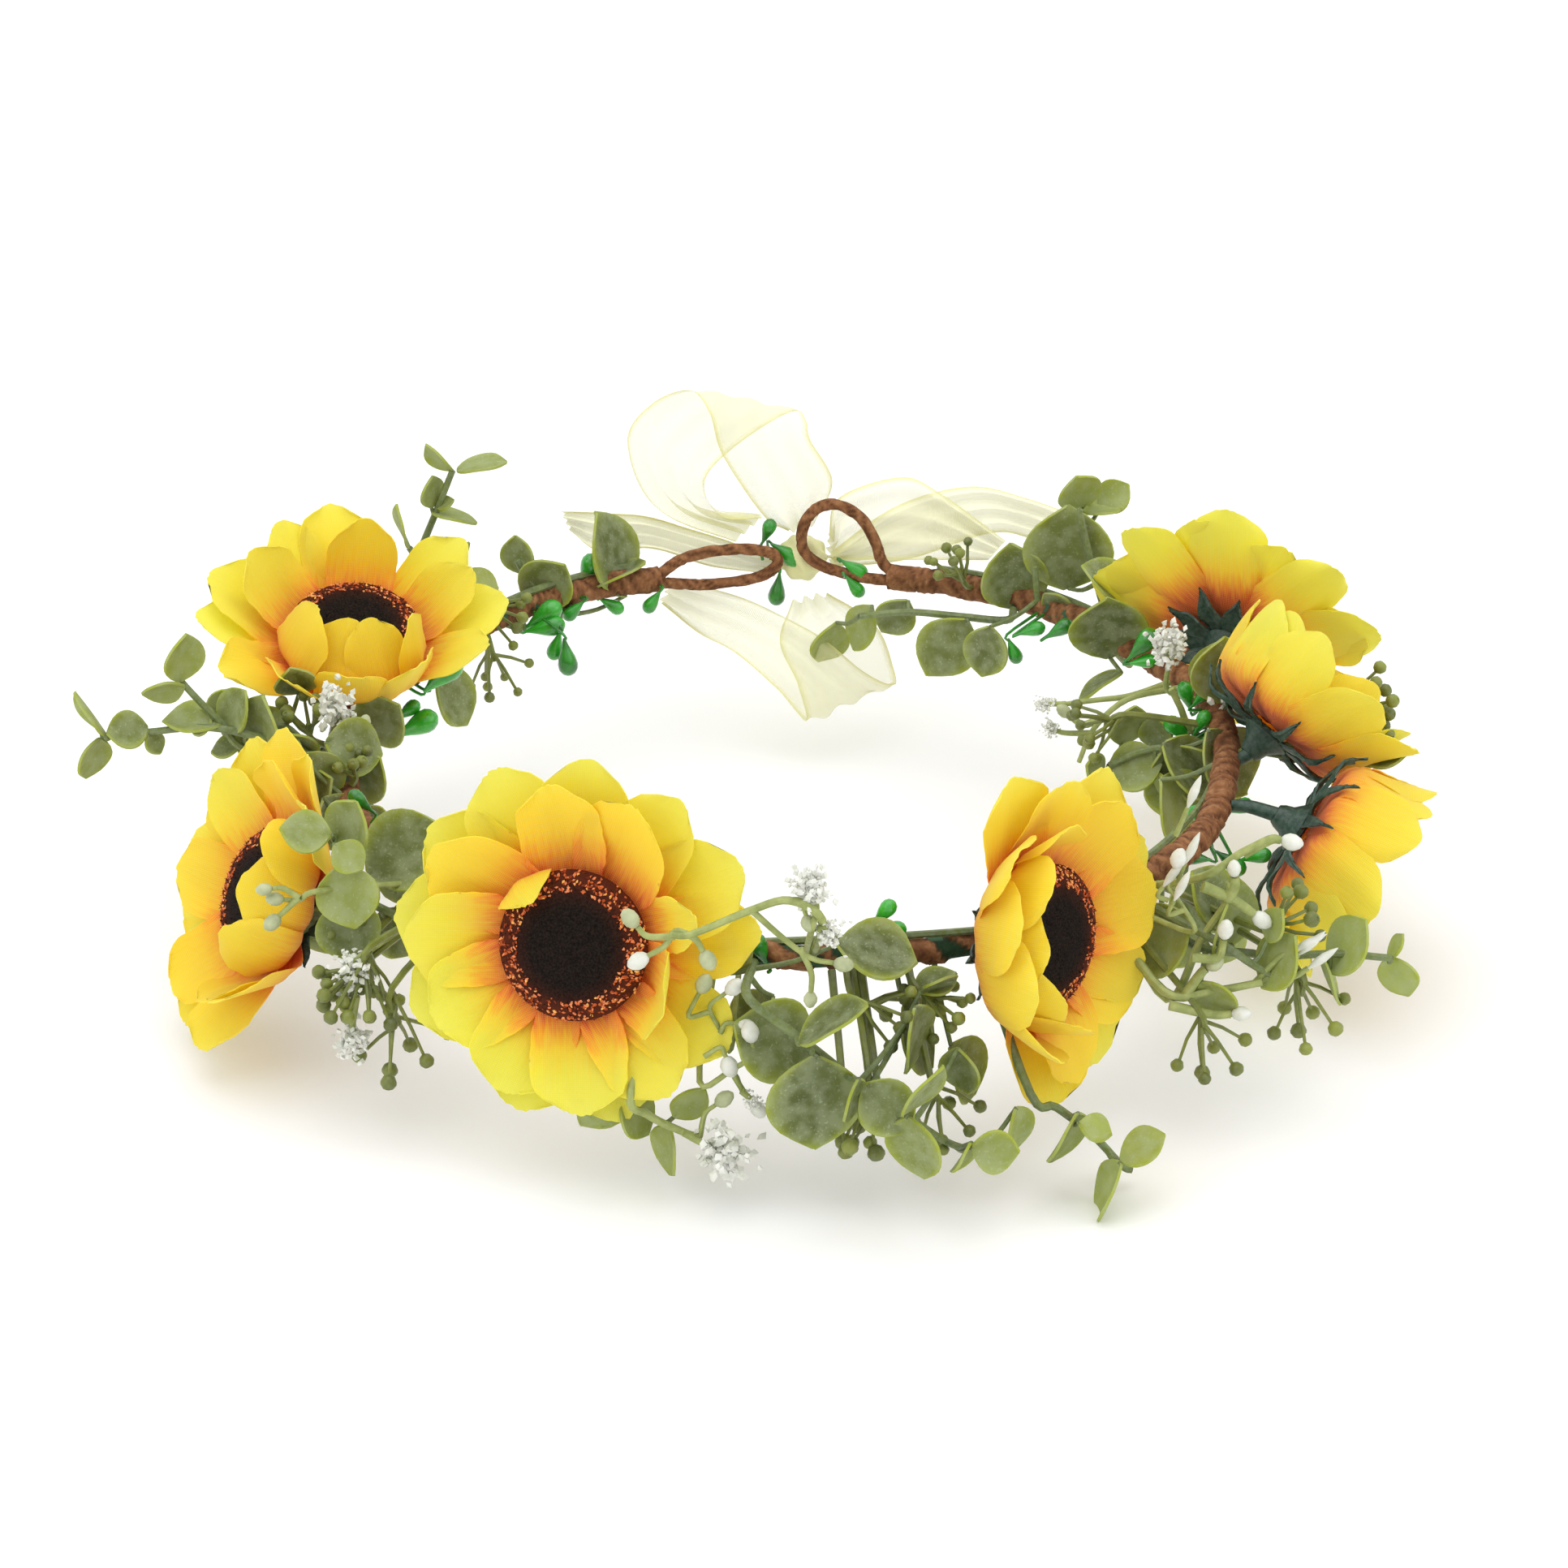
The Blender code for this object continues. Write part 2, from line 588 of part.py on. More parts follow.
def build_pip_garland(name, first, last, turn, count):
    """A thin stem along the band with green pips on short twigs."""
    steps = 2 * count
    distance = WRAP_RADIUS + FIT_GAP + TWIG_RADIUS
    angles = [first + (last - first) * i / steps for i in range(steps + 1)]
    route = [beside_band(angle, turn, distance) for angle in angles]
    twigs = []
    for i in range(count):
        angle = angles[2 * i + 1]
        lean = turn + 50.0 * math.sin(2.4 * i)
        away = beside_band(angle, lean, 1.0) - beside_band(angle)
        along = heading(angle + math.copysign(90.0, last - first))
        twigs.append((route[2 * i + 1], (away + along * 0.6).normalized()))
    build_spray(name, route, twigs, PIP_SIZE, Spray(PIP_TWIG, PIP_STRETCH, 0.0), "pip_plastic")


def build_ribbon():
    """The organza tie: a knot behind the eyes and the runs that leave it."""
    shape = bmesh.new()
    knot_form = Matrix.Translation(by_band(KNOT_PLACE)) @ Matrix.Diagonal((*KNOT_SIZE, 1.0))
    bmesh.ops.create_uvsphere(shape, u_segments=12, v_segments=8, radius=1.0, matrix=knot_form)
    knot = bpy.data.meshes.new("ribbon_knot")
    shape.to_mesh(knot)
    shape.free()
    add_part("ribbon_knot", knot, "organza")
    for name, sections in RIBBON_RUNS.items():

        def place(column, row, sections=sections):
            middle, half_width = sections[column]
            return by_band(KNOT_PLACE) + Vector(middle) + Vector(half_width) * (2 * row - 1)

        strip = mapped_grid(name, len(sections) - 1, 1, place)
        solidify(add_part(name, strip, "organza"), RIBBON_THICKNESS)


def build_crown():
    """Every sub-part of the crown."""
    build_band()
    build_tie_eyes()
    for number, flower in enumerate(SUNFLOWERS, start=1):
        build_sunflower(number, flower)
    for name, sprig in EUCALYPTUS.items():
        build_eucalyptus(name, sprig)
    for name, sprig in BABYS_BREATH.items():
        build_budded_sprig(name, sprig, BABYS_BREATH_SPRAY, "bud_plastic")
    for name, sprig in SEED_SPRIGS.items():
        build_budded_sprig(name, sprig, SEED_SPRAY, "seed_plastic")
    for name, garland in PIP_GARLANDS.items():
        build_pip_garland(name, *garland)
    build_ribbon()


build_crown()
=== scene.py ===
"""A sunflower crown: the looks of its band, flowers, foliage and ribbon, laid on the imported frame.

Metres and degrees, +Z up. Every piece sits where the frame's nodes and joints say. A place
on the band is an angle about +Z, counted from +X, and a turn round the wire: 0 is outwards,
90 is up and 180 is inwards.
"""

from __future__ import annotations

import json
import logging
import math
import random
from collections.abc import Callable, Sequence
from dataclasses import dataclass, field
from enum import Enum

import bmesh
import bpy
import numpy as np
from mathutils import Matrix, Vector

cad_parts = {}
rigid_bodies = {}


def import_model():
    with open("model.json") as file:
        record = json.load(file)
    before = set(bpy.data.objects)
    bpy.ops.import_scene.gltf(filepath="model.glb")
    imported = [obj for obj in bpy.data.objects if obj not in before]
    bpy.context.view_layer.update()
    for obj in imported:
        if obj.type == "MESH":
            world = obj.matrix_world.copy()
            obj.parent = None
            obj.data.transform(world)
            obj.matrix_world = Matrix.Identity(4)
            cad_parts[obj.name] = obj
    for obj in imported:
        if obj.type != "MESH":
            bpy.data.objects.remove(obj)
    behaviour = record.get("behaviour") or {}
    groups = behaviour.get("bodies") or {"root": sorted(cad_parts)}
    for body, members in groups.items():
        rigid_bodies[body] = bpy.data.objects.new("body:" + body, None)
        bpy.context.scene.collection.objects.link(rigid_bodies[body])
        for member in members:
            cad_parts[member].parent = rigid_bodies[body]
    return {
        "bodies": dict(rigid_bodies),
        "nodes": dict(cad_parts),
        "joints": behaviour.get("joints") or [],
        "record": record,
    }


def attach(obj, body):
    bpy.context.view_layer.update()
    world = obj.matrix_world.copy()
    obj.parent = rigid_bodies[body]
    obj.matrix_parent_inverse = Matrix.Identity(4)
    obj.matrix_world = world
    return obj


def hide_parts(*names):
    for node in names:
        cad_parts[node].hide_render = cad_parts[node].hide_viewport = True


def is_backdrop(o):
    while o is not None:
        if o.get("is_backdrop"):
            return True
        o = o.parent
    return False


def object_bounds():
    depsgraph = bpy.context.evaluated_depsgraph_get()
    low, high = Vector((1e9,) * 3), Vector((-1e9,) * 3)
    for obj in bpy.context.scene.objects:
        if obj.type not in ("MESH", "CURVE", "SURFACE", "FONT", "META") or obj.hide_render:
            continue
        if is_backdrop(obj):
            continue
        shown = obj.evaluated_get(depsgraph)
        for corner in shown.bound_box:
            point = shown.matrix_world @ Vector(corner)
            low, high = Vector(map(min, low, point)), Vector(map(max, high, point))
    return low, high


Socket = bpy.types.NodeSocket
Sockets = bpy.types.bpy_prop_collection
LOG = logging.getLogger("flower_crown")
UP = Vector((0.0, 0.0, 1.0))
MM = 0.001
CLOTH_UNIT = 0.02  # One unit of the cloth's UV map, in metres.


class Slot(Enum):
    """The record's material slots."""

    STEEL = "steel_wire"
    TAPE = "floral_tape"
    PAPER = "paper_wrap"
    CALYX = "calyx_plastic"
    PETAL = "petal_fabric"
    SEED_DISC = "seed_flock"
    LEAF = "leaf_plastic"
    BUD = "bud_plastic"
    SEED = "seed_plastic"
    PIP = "pip_plastic"
    ORGANZA = "organza"


# ---------------------------------------------------------------- shader work


class NodeDesk:
    """Places and wires the nodes of one shader tree."""

    def __init__(self, tree: bpy.types.NodeTree) -> None:
        """Keeps the tree that the nodes go into."""
        self.tree = tree

    def add(self, kind: str, inputs: dict | None = None, **settings: object) -> bpy.types.Node:
        """Adds a node.

        Args:
            kind: The node's type.
            inputs: A value or a socket for each input, by name or number.
            settings: The node's own settings.

        Returns:
            The new node.
        """
        node = self.tree.nodes.new(kind)
        for key, value in settings.items():
            setattr(node, key, value)
        for key, value in (inputs or {}).items():
            if isinstance(value, Socket):
                self.tree.links.new(value, node.inputs[key])
            else:
                node.inputs[key].default_value = value
        return node

    def math(self, operation: str, first: object, second: object = 0.0, clamp: bool = False) -> Socket:
        """The result of one sum on one or two values."""
        node = self.add("ShaderNodeMath", {0: first, 1: second}, operation=operation, use_clamp=clamp)
        return node.outputs[0]

    def blend(self, share: object, first: object, second: object, how: str = "MIX") -> Socket:
        """Two colours mixed by a share from 0 to 1."""
        node = self.add("ShaderNodeMix", {0: share, 6: first, 7: second}, data_type="RGBA", blend_type=how)
        return node.outputs[2]

    def span(self, value: object, low: float, high: float, start: float = 0.0, end: float = 1.0) -> Socket:
        """A value stretched from low..high to start..end, and held there."""
        node = self.add("ShaderNodeMapRange", {0: value, 1: low, 2: high, 3: start, 4: end})
        return node.outputs[0]

    def ramp(self, value: object, stops: Sequence[tuple[float, tuple[float, float, float]]]) -> Socket:
        """A colour that runs through the stops as the value goes from 0 to 1."""
        node = self.add("ShaderNodeValToRGB", {0: value})
        band = node.color_ramp
        while len(band.elements) < len(stops):
            band.elements.new(0.5)
        for element, (place, colour) in zip(band.elements, stops):
            element.position = place
            element.color = (*colour, 1.0)
        return node.outputs[0]

    def attribute(self, name: str) -> Socket:
        """The value that the mesh stores under this name."""
        return self.add("ShaderNodeAttribute", attribute_name=name).outputs["Fac"]

    def noise(self, where: object, scale: float, detail: float = 3.0, rough: float = 0.5) -> Socket:
        """Even noise from 0 to 1."""
        node = self.add("ShaderNodeTexNoise", {"Vector": where, "Scale": scale, "Detail": detail, "Roughness": rough})
        return node.outputs[0]

    def place(self) -> Socket:
        """The point's place on its own object."""
        return self.add("ShaderNodeTexCoord").outputs["Object"]

    def cloth_place(self) -> Socket:
        """The point's place on the flat cloth, from the UV map."""
        return self.add("ShaderNodeTexCoord").outputs["UV"]

    def bump(self, height: object, strength: float, distance: float) -> Socket:
        """The normal of a surface raised by a height."""
        node = self.add("ShaderNodeBump", {"Height": height, "Strength": strength, "Distance": distance})
        return node.outputs[0]


class Effects:
    """The shader groups that several finishes share."""

    _made: dict[str, bpy.types.NodeTree] = {}

    @classmethod
    def _start(cls, name: str, outputs: Sequence[str], **inputs: float) -> tuple[NodeDesk, Sockets]:
        """Opens a group that takes a Vector and some values; gives its desk and what it is given."""
        tree = bpy.data.node_groups.new(name, "ShaderNodeTree")
        tree.interface.new_socket("Vector", in_out="INPUT", socket_type="NodeSocketVector")
        for label, value in inputs.items():
            tree.interface.new_socket(label, in_out="INPUT", socket_type="NodeSocketFloat").default_value = value
        for label in outputs:
            tree.interface.new_socket(label, in_out="OUTPUT", socket_type="NodeSocketFloat")
        cls._made[name] = tree
        desk = NodeDesk(tree)
        return desk, desk.add("NodeGroupInput").outputs

    @classmethod
    def _weave(cls) -> None:
        """Plain weave: a height for the bump and a mask of the gaps between threads."""
        desk, given = cls._start("plain_weave", ("Height", "Gaps"), Threads=60.0)
        parts = desk.add("ShaderNodeSeparateXYZ", {0: given["Vector"]}).outputs
        waves, lows = [], []
        for axis in (0, 1):
            phase = desk.math("MULTIPLY", desk.math("MULTIPLY", parts[axis], given["Threads"]), math.pi)
            waves.append(desk.math("ABSOLUTE", desk.math("SINE", phase)))
            lows.append(desk.math("MAXIMUM", desk.math("SUBTRACT", 0.55, waves[axis]), 0.0))
        gaps = desk.math("MULTIPLY", desk.math("ADD", *lows), 1.4, clamp=True)
        desk.add("NodeGroupOutput", {"Height": desk.math("MAXIMUM", *waves), "Gaps": gaps})

    @classmethod
    def _dust(cls) -> None:
        """Pale powder that lies in clouds with small specks in it."""
        desk, given = cls._start("powder_dust", ("Mask", "Height"), Scale=400.0, Amount=0.5)
        cloud = desk.noise(given["Vector"], given["Scale"], 4.0)
        fine = desk.noise(given["Vector"], desk.math("MULTIPLY", given["Scale"], 5.5), 2.0)
        clouds = desk.span(cloud, 0.38, 0.62)
        specks = desk.span(fine, 0.60, 0.72)
        both = desk.math("ADD", desk.math("MULTIPLY", clouds, 0.6), desk.math("MULTIPLY", specks, 0.7))
        mask = desk.math("MULTIPLY", both, given["Amount"], clamp=True)
        desk.add("NodeGroupOutput", {"Mask": mask, "Height": fine})

    @classmethod
    def _mottle(cls) -> None:
        """Soft patches, for colour that is not quite even."""
        desk, given = cls._start("soft_mottle", ("Mask",), Scale=120.0)
        desk.add("NodeGroupOutput", {"Mask": desk.span(desk.noise(given["Vector"], given["Scale"], 5.0), 0.32, 0.68)})

    @classmethod
    def use(cls, desk: NodeDesk, name: str, inputs: dict) -> Sockets:
        """Places a shared group in a material.

        Args:
            desk: The material's desk.
            name: plain_weave, powder_dust or soft_mottle.
            inputs: A value or a socket for each of the group's inputs.

        Returns:
            The placed node's outputs.
        """
        if not cls._made:
            cls._weave()
            cls._dust()
            cls._mottle()
        return desk.add("ShaderNodeGroup", inputs, node_tree=cls._made[name]).outputs


@dataclass(frozen=True)
class Finish:
    """What every finish has: a name and how much light passes through it."""

    name: str
    through: float = 0.0

    def surface(self, desk: NodeDesk, colour: object, settings: dict) -> None:
        """Wires the surface shader, with a translucent share where light passes.

        Args:
            desk: The material's desk.
            colour: The base colour's socket or value.
            settings: The other inputs of the Principled shader.
        """
        shader = desk.add("ShaderNodeBsdfPrincipled", {"Base Color": colour, **settings})
        surface = shader.outputs[0]
        if self.through > 0.0:
            glow = desk.add("ShaderNodeBsdfTranslucent", {"Color": colour})
            surface = desk.add("ShaderNodeMixShader", {0: self.through, 1: surface, 2: glow.outputs[0]}).outputs[0]
        desk.add("ShaderNodeOutputMaterial", {"Surface": surface})

    def material(self) -> bpy.types.Material:
        """The finished material, made the first time it is asked for."""
        ready = bpy.data.materials.get(self.name)
        if ready:
            return ready
        material = bpy.data.materials.new(self.name)
        material.use_nodes = True
        material.node_tree.nodes.clear()
        self.build(NodeDesk(material.node_tree))
        return material

    def build(self, desk: NodeDesk) -> None:
        """Lays the finish's nodes on the desk."""
        raise NotImplementedError


@dataclass(frozen=True)
class PetalCloth(Finish):
    """Woven polyester, dyed orange at the heart and lemon at the tip. Each petal leans golden or lemon by its tone:
    partly its own colour, partly painted shade.
    """

    threads: float = 52.0

    def build(self, desk: NodeDesk) -> None:
        """Lays the finish's nodes."""
        cloth = desk.cloth_place()
        along = desk.attribute("along")
        tone = desk.attribute("tone")
        streaks = desk.add("ShaderNodeMapping", {"Vector": cloth, "Scale": (9.0, 1.1, 1.0)}).outputs[0]
        drift = desk.span(desk.noise(streaks, 3.0, 4.0), 0.2, 0.8, -0.07, 0.07)
        dyed = desk.math("ADD", along, drift, clamp=True)
        heart = ((0.36, (0.86, 0.13, 0.006)), (0.42, (0.96, 0.30, 0.006)))
        golden = desk.ramp(
            dyed,
            (
                *heart, (0.50, (1.00, 0.52, 0.004)), (0.62, (1.00, 0.72, 0.006)),
                (0.85, (1.00, 0.80, 0.014)), (1.0, (0.97, 0.85, 0.06)),
            ),
        )
        lemon = desk.ramp(
            dyed,
            (
                *heart, (0.48, (1.00, 0.56, 0.004)), (0.56, (0.99, 0.80, 0.020)),
                (0.70, (0.93, 0.88, 0.060)), (1.0, (0.90, 0.89, 0.14)),
            ),
        )
        # Golden or lemon by each petal's tone: partly real variation, partly painted shade where a petal lay in shade
        # or behind a second layer.
        colour = desk.blend(tone, golden, lemon)
        weave = Effects.use(desk, "plain_weave", {"Vector": cloth, "Threads": self.threads})
        # Painted light: the gaps between threads are painted pale yellow, as if light shone through them.
        gap_light = desk.blend(desk.math("MULTIPLY", weave["Gaps"], 0.42), colour, (0.97, 0.93, 0.42, 1.0))
        spots = desk.span(desk.noise(cloth, 9.0, 2.0), 0.70, 0.74)
        marked = desk.blend(desk.math("MULTIPLY", spots, 0.35), gap_light, (0.55, 0.24, 0.02, 1.0))
        creases = desk.noise(streaks, 5.0, 3.0)
        height = desk.math("ADD", desk.math("MULTIPLY", weave["Height"], 0.35), creases)
        normal = desk.bump(height, 0.35, 0.0004)
        settings = {"Roughness": 0.62, "Normal": normal, "Sheen Weight": 0.15, "Specular IOR Level": 0.3}
        self.surface(desk, marked, settings)


@dataclass(frozen=True)
class SeedFlock(Finish):
    """Black flock with a rim of rust-coloured crumbs."""

    def build(self, desk: NodeDesk) -> None:
        """Lays the finish's nodes."""
        where = desk.place()
        tone = desk.attribute("tone")
        crumb = desk.attribute("crumb")
        grain = desk.noise(where, 2600.0, 2.0)
        black = desk.ramp(grain, ((0.35, (0.002, 0.0015, 0.001)), (0.75, (0.022, 0.012, 0.008))))
        rust = desk.ramp(
            tone,
            (
                (0.00, (0.035, 0.010, 0.006)), (0.30, (0.22, 0.035, 0.010)), (0.60, (0.60, 0.12, 0.030)),
                (0.85, (0.85, 0.28, 0.12)), (1.00, (0.95, 0.50, 0.12)),
            ),
        )
        colour = desk.blend(crumb, black, rust)
        normal = desk.bump(grain, 0.6, 0.0003)
        self.surface(desk, colour, {"Roughness": 0.9, "Normal": normal, "Specular IOR Level": 0.15})


@dataclass(frozen=True)
class MouldedGreen(Finish):
    """Moulded plastic with a colour that wanders and a few pale scuffs."""

    dark: tuple[float, float, float] = (0.003, 0.022, 0.014)
    light: tuple[float, float, float] = (0.012, 0.065, 0.035)
    roughness: float = 0.42
    dust: float = 0.15
    coat: float = 0.0
    grain: float = 900.0

    def build(self, desk: NodeDesk) -> None:
        """Lays the finish's nodes."""
        where = desk.place()
        mottle = Effects.use(desk, "soft_mottle", {"Vector": where, "Scale": 260.0})["Mask"]
        tone = desk.attribute("tone")
        share = desk.math("ADD", desk.math("MULTIPLY", mottle, 0.45), desk.math("MULTIPLY", tone, 0.7), clamp=True)
        colour = desk.blend(share, (*self.dark, 1.0), (*self.light, 1.0))
        dust = Effects.use(desk, "powder_dust", {"Vector": where, "Scale": self.grain, "Amount": self.dust})
        dusted = desk.blend(dust["Mask"], colour, (0.42, 0.50, 0.42, 1.0))
        normal = desk.bump(dust["Height"], 0.25, 0.0002)
        rough = desk.span(mottle, 0.0, 1.0, self.roughness - 0.06, self.roughness + 0.10)
        self.surface(desk, dusted, {"Roughness": rough, "Normal": normal, "Coat Weight": self.coat})


@dataclass(frozen=True)
class LeafSkin(Finish):
    """Frosted leaf plastic: grey-green and powdery in the middle, lime along the rim."""

    def build(self, desk: NodeDesk) -> None:
        """Lays the finish's nodes."""
        where = desk.place()
        rim = desk.attribute("rim")
        tone = desk.attribute("tone")
        old = desk.blend(desk.noise(where, 180.0, 4.0), (0.050, 0.068, 0.020, 1.0), (0.185, 0.225, 0.065, 1.0))
        young = desk.blend(desk.noise(where, 220.0, 4.0), (0.34, 0.41, 0.060, 1.0), (0.62, 0.69, 0.22, 1.0))
        base = desk.blend(tone, old, young)
        edge = desk.blend(desk.math("MULTIPLY", desk.math("POWER", rim, 3.0), 0.85), base, (0.42, 0.48, 0.045, 1.0))
        dust = Effects.use(desk, "powder_dust", {"Vector": where, "Scale": 330.0, "Amount": 0.55})
        dusted = desk.blend(dust["Mask"], edge, (0.50, 0.56, 0.36, 1.0))
        normal = desk.bump(dust["Height"], 0.35, 0.0003)
        self.surface(desk, dusted, {"Roughness": 0.66, "Normal": normal, "Specular IOR Level": 0.35})


@dataclass(frozen=True)
class PaperTwist(Finish):
    """Crumpled brown paper, with the green tape where it leaves gaps, and painted shade that darkens the paper in its
    folds' creases.
    """

    def build(self, desk: NodeDesk) -> None:
        """Lays the finish's nodes."""
        where = desk.place()
        cover = desk.attribute("cover")
        ridge = desk.attribute("ridge")
        grain = desk.noise(where, 700.0, 5.0, 0.62)
        # Painted shade: the paper's brown is darker in the folds' creases and lighter on their crests, laid over its
        # own grain.
        shade = desk.math("ADD", desk.math("MULTIPLY", grain, 0.65), desk.math("MULTIPLY", ridge, 0.45), clamp=True)
        paper = desk.ramp(
            shade,
            (
                (0.22, (0.035, 0.013, 0.005)), (0.50, (0.130, 0.050, 0.019)),
                (0.72, (0.245, 0.105, 0.042)), (0.95, (0.420, 0.215, 0.100)),
            ),
        )
        tape = desk.blend(grain, (0.006, 0.022, 0.010, 1.0), (0.030, 0.075, 0.030, 1.0))
        colour = desk.blend(cover, tape, paper)
        normal = desk.bump(desk.noise(where, 1500.0, 4.0), 0.55, 0.0005)
        self.surface(desk, colour, {"Roughness": 0.82, "Normal": normal, "Specular IOR Level": 0.25})


@dataclass(frozen=True)
class BudPlastic(Finish):
    """Pale plastic: green on the stems, off-white on the buds and crumbs."""

    def build(self, desk: NodeDesk) -> None:
        """Lays the finish's nodes."""
        where = desk.place()
        white = desk.attribute("white")
        mottle = Effects.use(desk, "soft_mottle", {"Vector": where, "Scale": 420.0})["Mask"]
        stem = desk.blend(mottle, (0.24, 0.29, 0.055, 1.0), (0.42, 0.47, 0.13, 1.0))
        bud = desk.blend(mottle, (0.74, 0.76, 0.66, 1.0), (0.92, 0.92, 0.88, 1.0))
        colour = desk.blend(white, stem, bud)
        normal = desk.bump(desk.noise(where, 2400.0, 2.0), 0.30, 0.0002)
        self.surface(desk, colour, {"Roughness": 0.48, "Normal": normal})


@dataclass(frozen=True)
class Organza(Finish):
    """Sheer pale yellow organza, denser at its woven edges and where it is gathered."""

    sheer: float = 0.20

    def build(self, desk: NodeDesk) -> None:
        """Lays the finish's nodes."""
        cloth = desk.cloth_place()
        edge = desk.attribute("rim")
        dense = desk.attribute("dense")
        weave = Effects.use(desk, "plain_weave", {"Vector": cloth, "Threads": 70.0})
        colour = desk.blend(edge, (0.86, 0.85, 0.50, 1.0), (0.80, 0.77, 0.28, 1.0))
        solid = desk.math("ADD", desk.math("MULTIPLY", edge, 0.42), desk.math("MULTIPLY", dense, 0.5))
        thread = desk.span(weave["Gaps"], 0.0, 1.0, 0.05, -0.05)
        alpha = desk.math("ADD", desk.math("ADD", solid, thread), self.sheer, clamp=True)
        normal = desk.bump(weave["Height"], 0.2, 0.0002)
        self.surface(desk, colour, {"Roughness": 0.38, "Normal": normal, "Alpha": alpha, "Sheen Weight": 0.2})


@dataclass(frozen=True)
class BareSteel(Finish):
    """Annealed florist's wire."""

    def build(self, desk: NodeDesk) -> None:
        """Lays the finish's nodes."""
        grain = desk.noise(desk.place(), 1500.0, 3.0)
        colour = desk.blend(grain, (0.22, 0.22, 0.23, 1.0), (0.48, 0.47, 0.46, 1.0))
        self.surface(desk, colour, {"Roughness": desk.span(grain, 0.0, 1.0, 0.30, 0.55), "Metallic": 1.0})


PETAL = PetalCloth("petal_cloth", through=0.42)
FLOCK = SeedFlock("black_flock")
CALYX = MouldedGreen("calyx_green")
STEM = MouldedGreen("stem_green", dark=(0.045, 0.065, 0.014), light=(0.20, 0.25, 0.060), roughness=0.55, dust=0.25)
SEED = MouldedGreen("seed_olive", dark=(0.060, 0.075, 0.008), light=(0.24, 0.27, 0.030), roughness=0.40, dust=0.12)
PIP = MouldedGreen(
    "pip_gloss", dark=(0.002, 0.040, 0.008), light=(0.035, 0.46, 0.025), roughness=0.16, dust=0.0, coat=0.6
)
LEAF = LeafSkin("leaf_frost", through=0.22)
PAPER = PaperTwist("paper_twist")
BUD = BudPlastic("bud_pale", through=0.15)
SHEER = Organza("organza_sheer")
KNOTTED = Organza("organza_knot", sheer=0.55)
STEEL = BareSteel("florist_wire")
TAPE = MouldedGreen("floral_tape", dark=(0.006, 0.030, 0.012), light=(0.03, 0.10, 0.04), roughness=0.6, dust=0.1)


# ---------------------------------------------------------------- shape work


@dataclass
class Shape:
    """A mesh kept as arrays: points, faces, a flat-cloth place and named values for each point."""

    points: np.ndarray
    faces: list[tuple[int, ...]]
    cloth: np.ndarray
    values: dict[str, np.ndarray] = field(default_factory=dict)

    def copy(self) -> Shape:
        """The same shape with arrays of its own."""
        kept = {name: value.copy() for name, value in self.values.items()}
        return Shape(self.points.copy(), list(self.faces), self.cloth.copy(), kept)

    def value(self, name: str, amount: float | np.ndarray) -> Shape:
        """Sets a named value on every point, and gives the shape back."""
        self.values[name] = np.full(len(self.points), amount) if np.isscalar(amount) else np.asarray(amount, float)
        return self

    def moved(self, matrix: Matrix) -> Shape:
        """A copy that a matrix has placed."""
        made = self.copy()
        grid = np.array(matrix)
        made.points = made.points @ grid[:3, :3].T + grid[:3, 3]
        return made


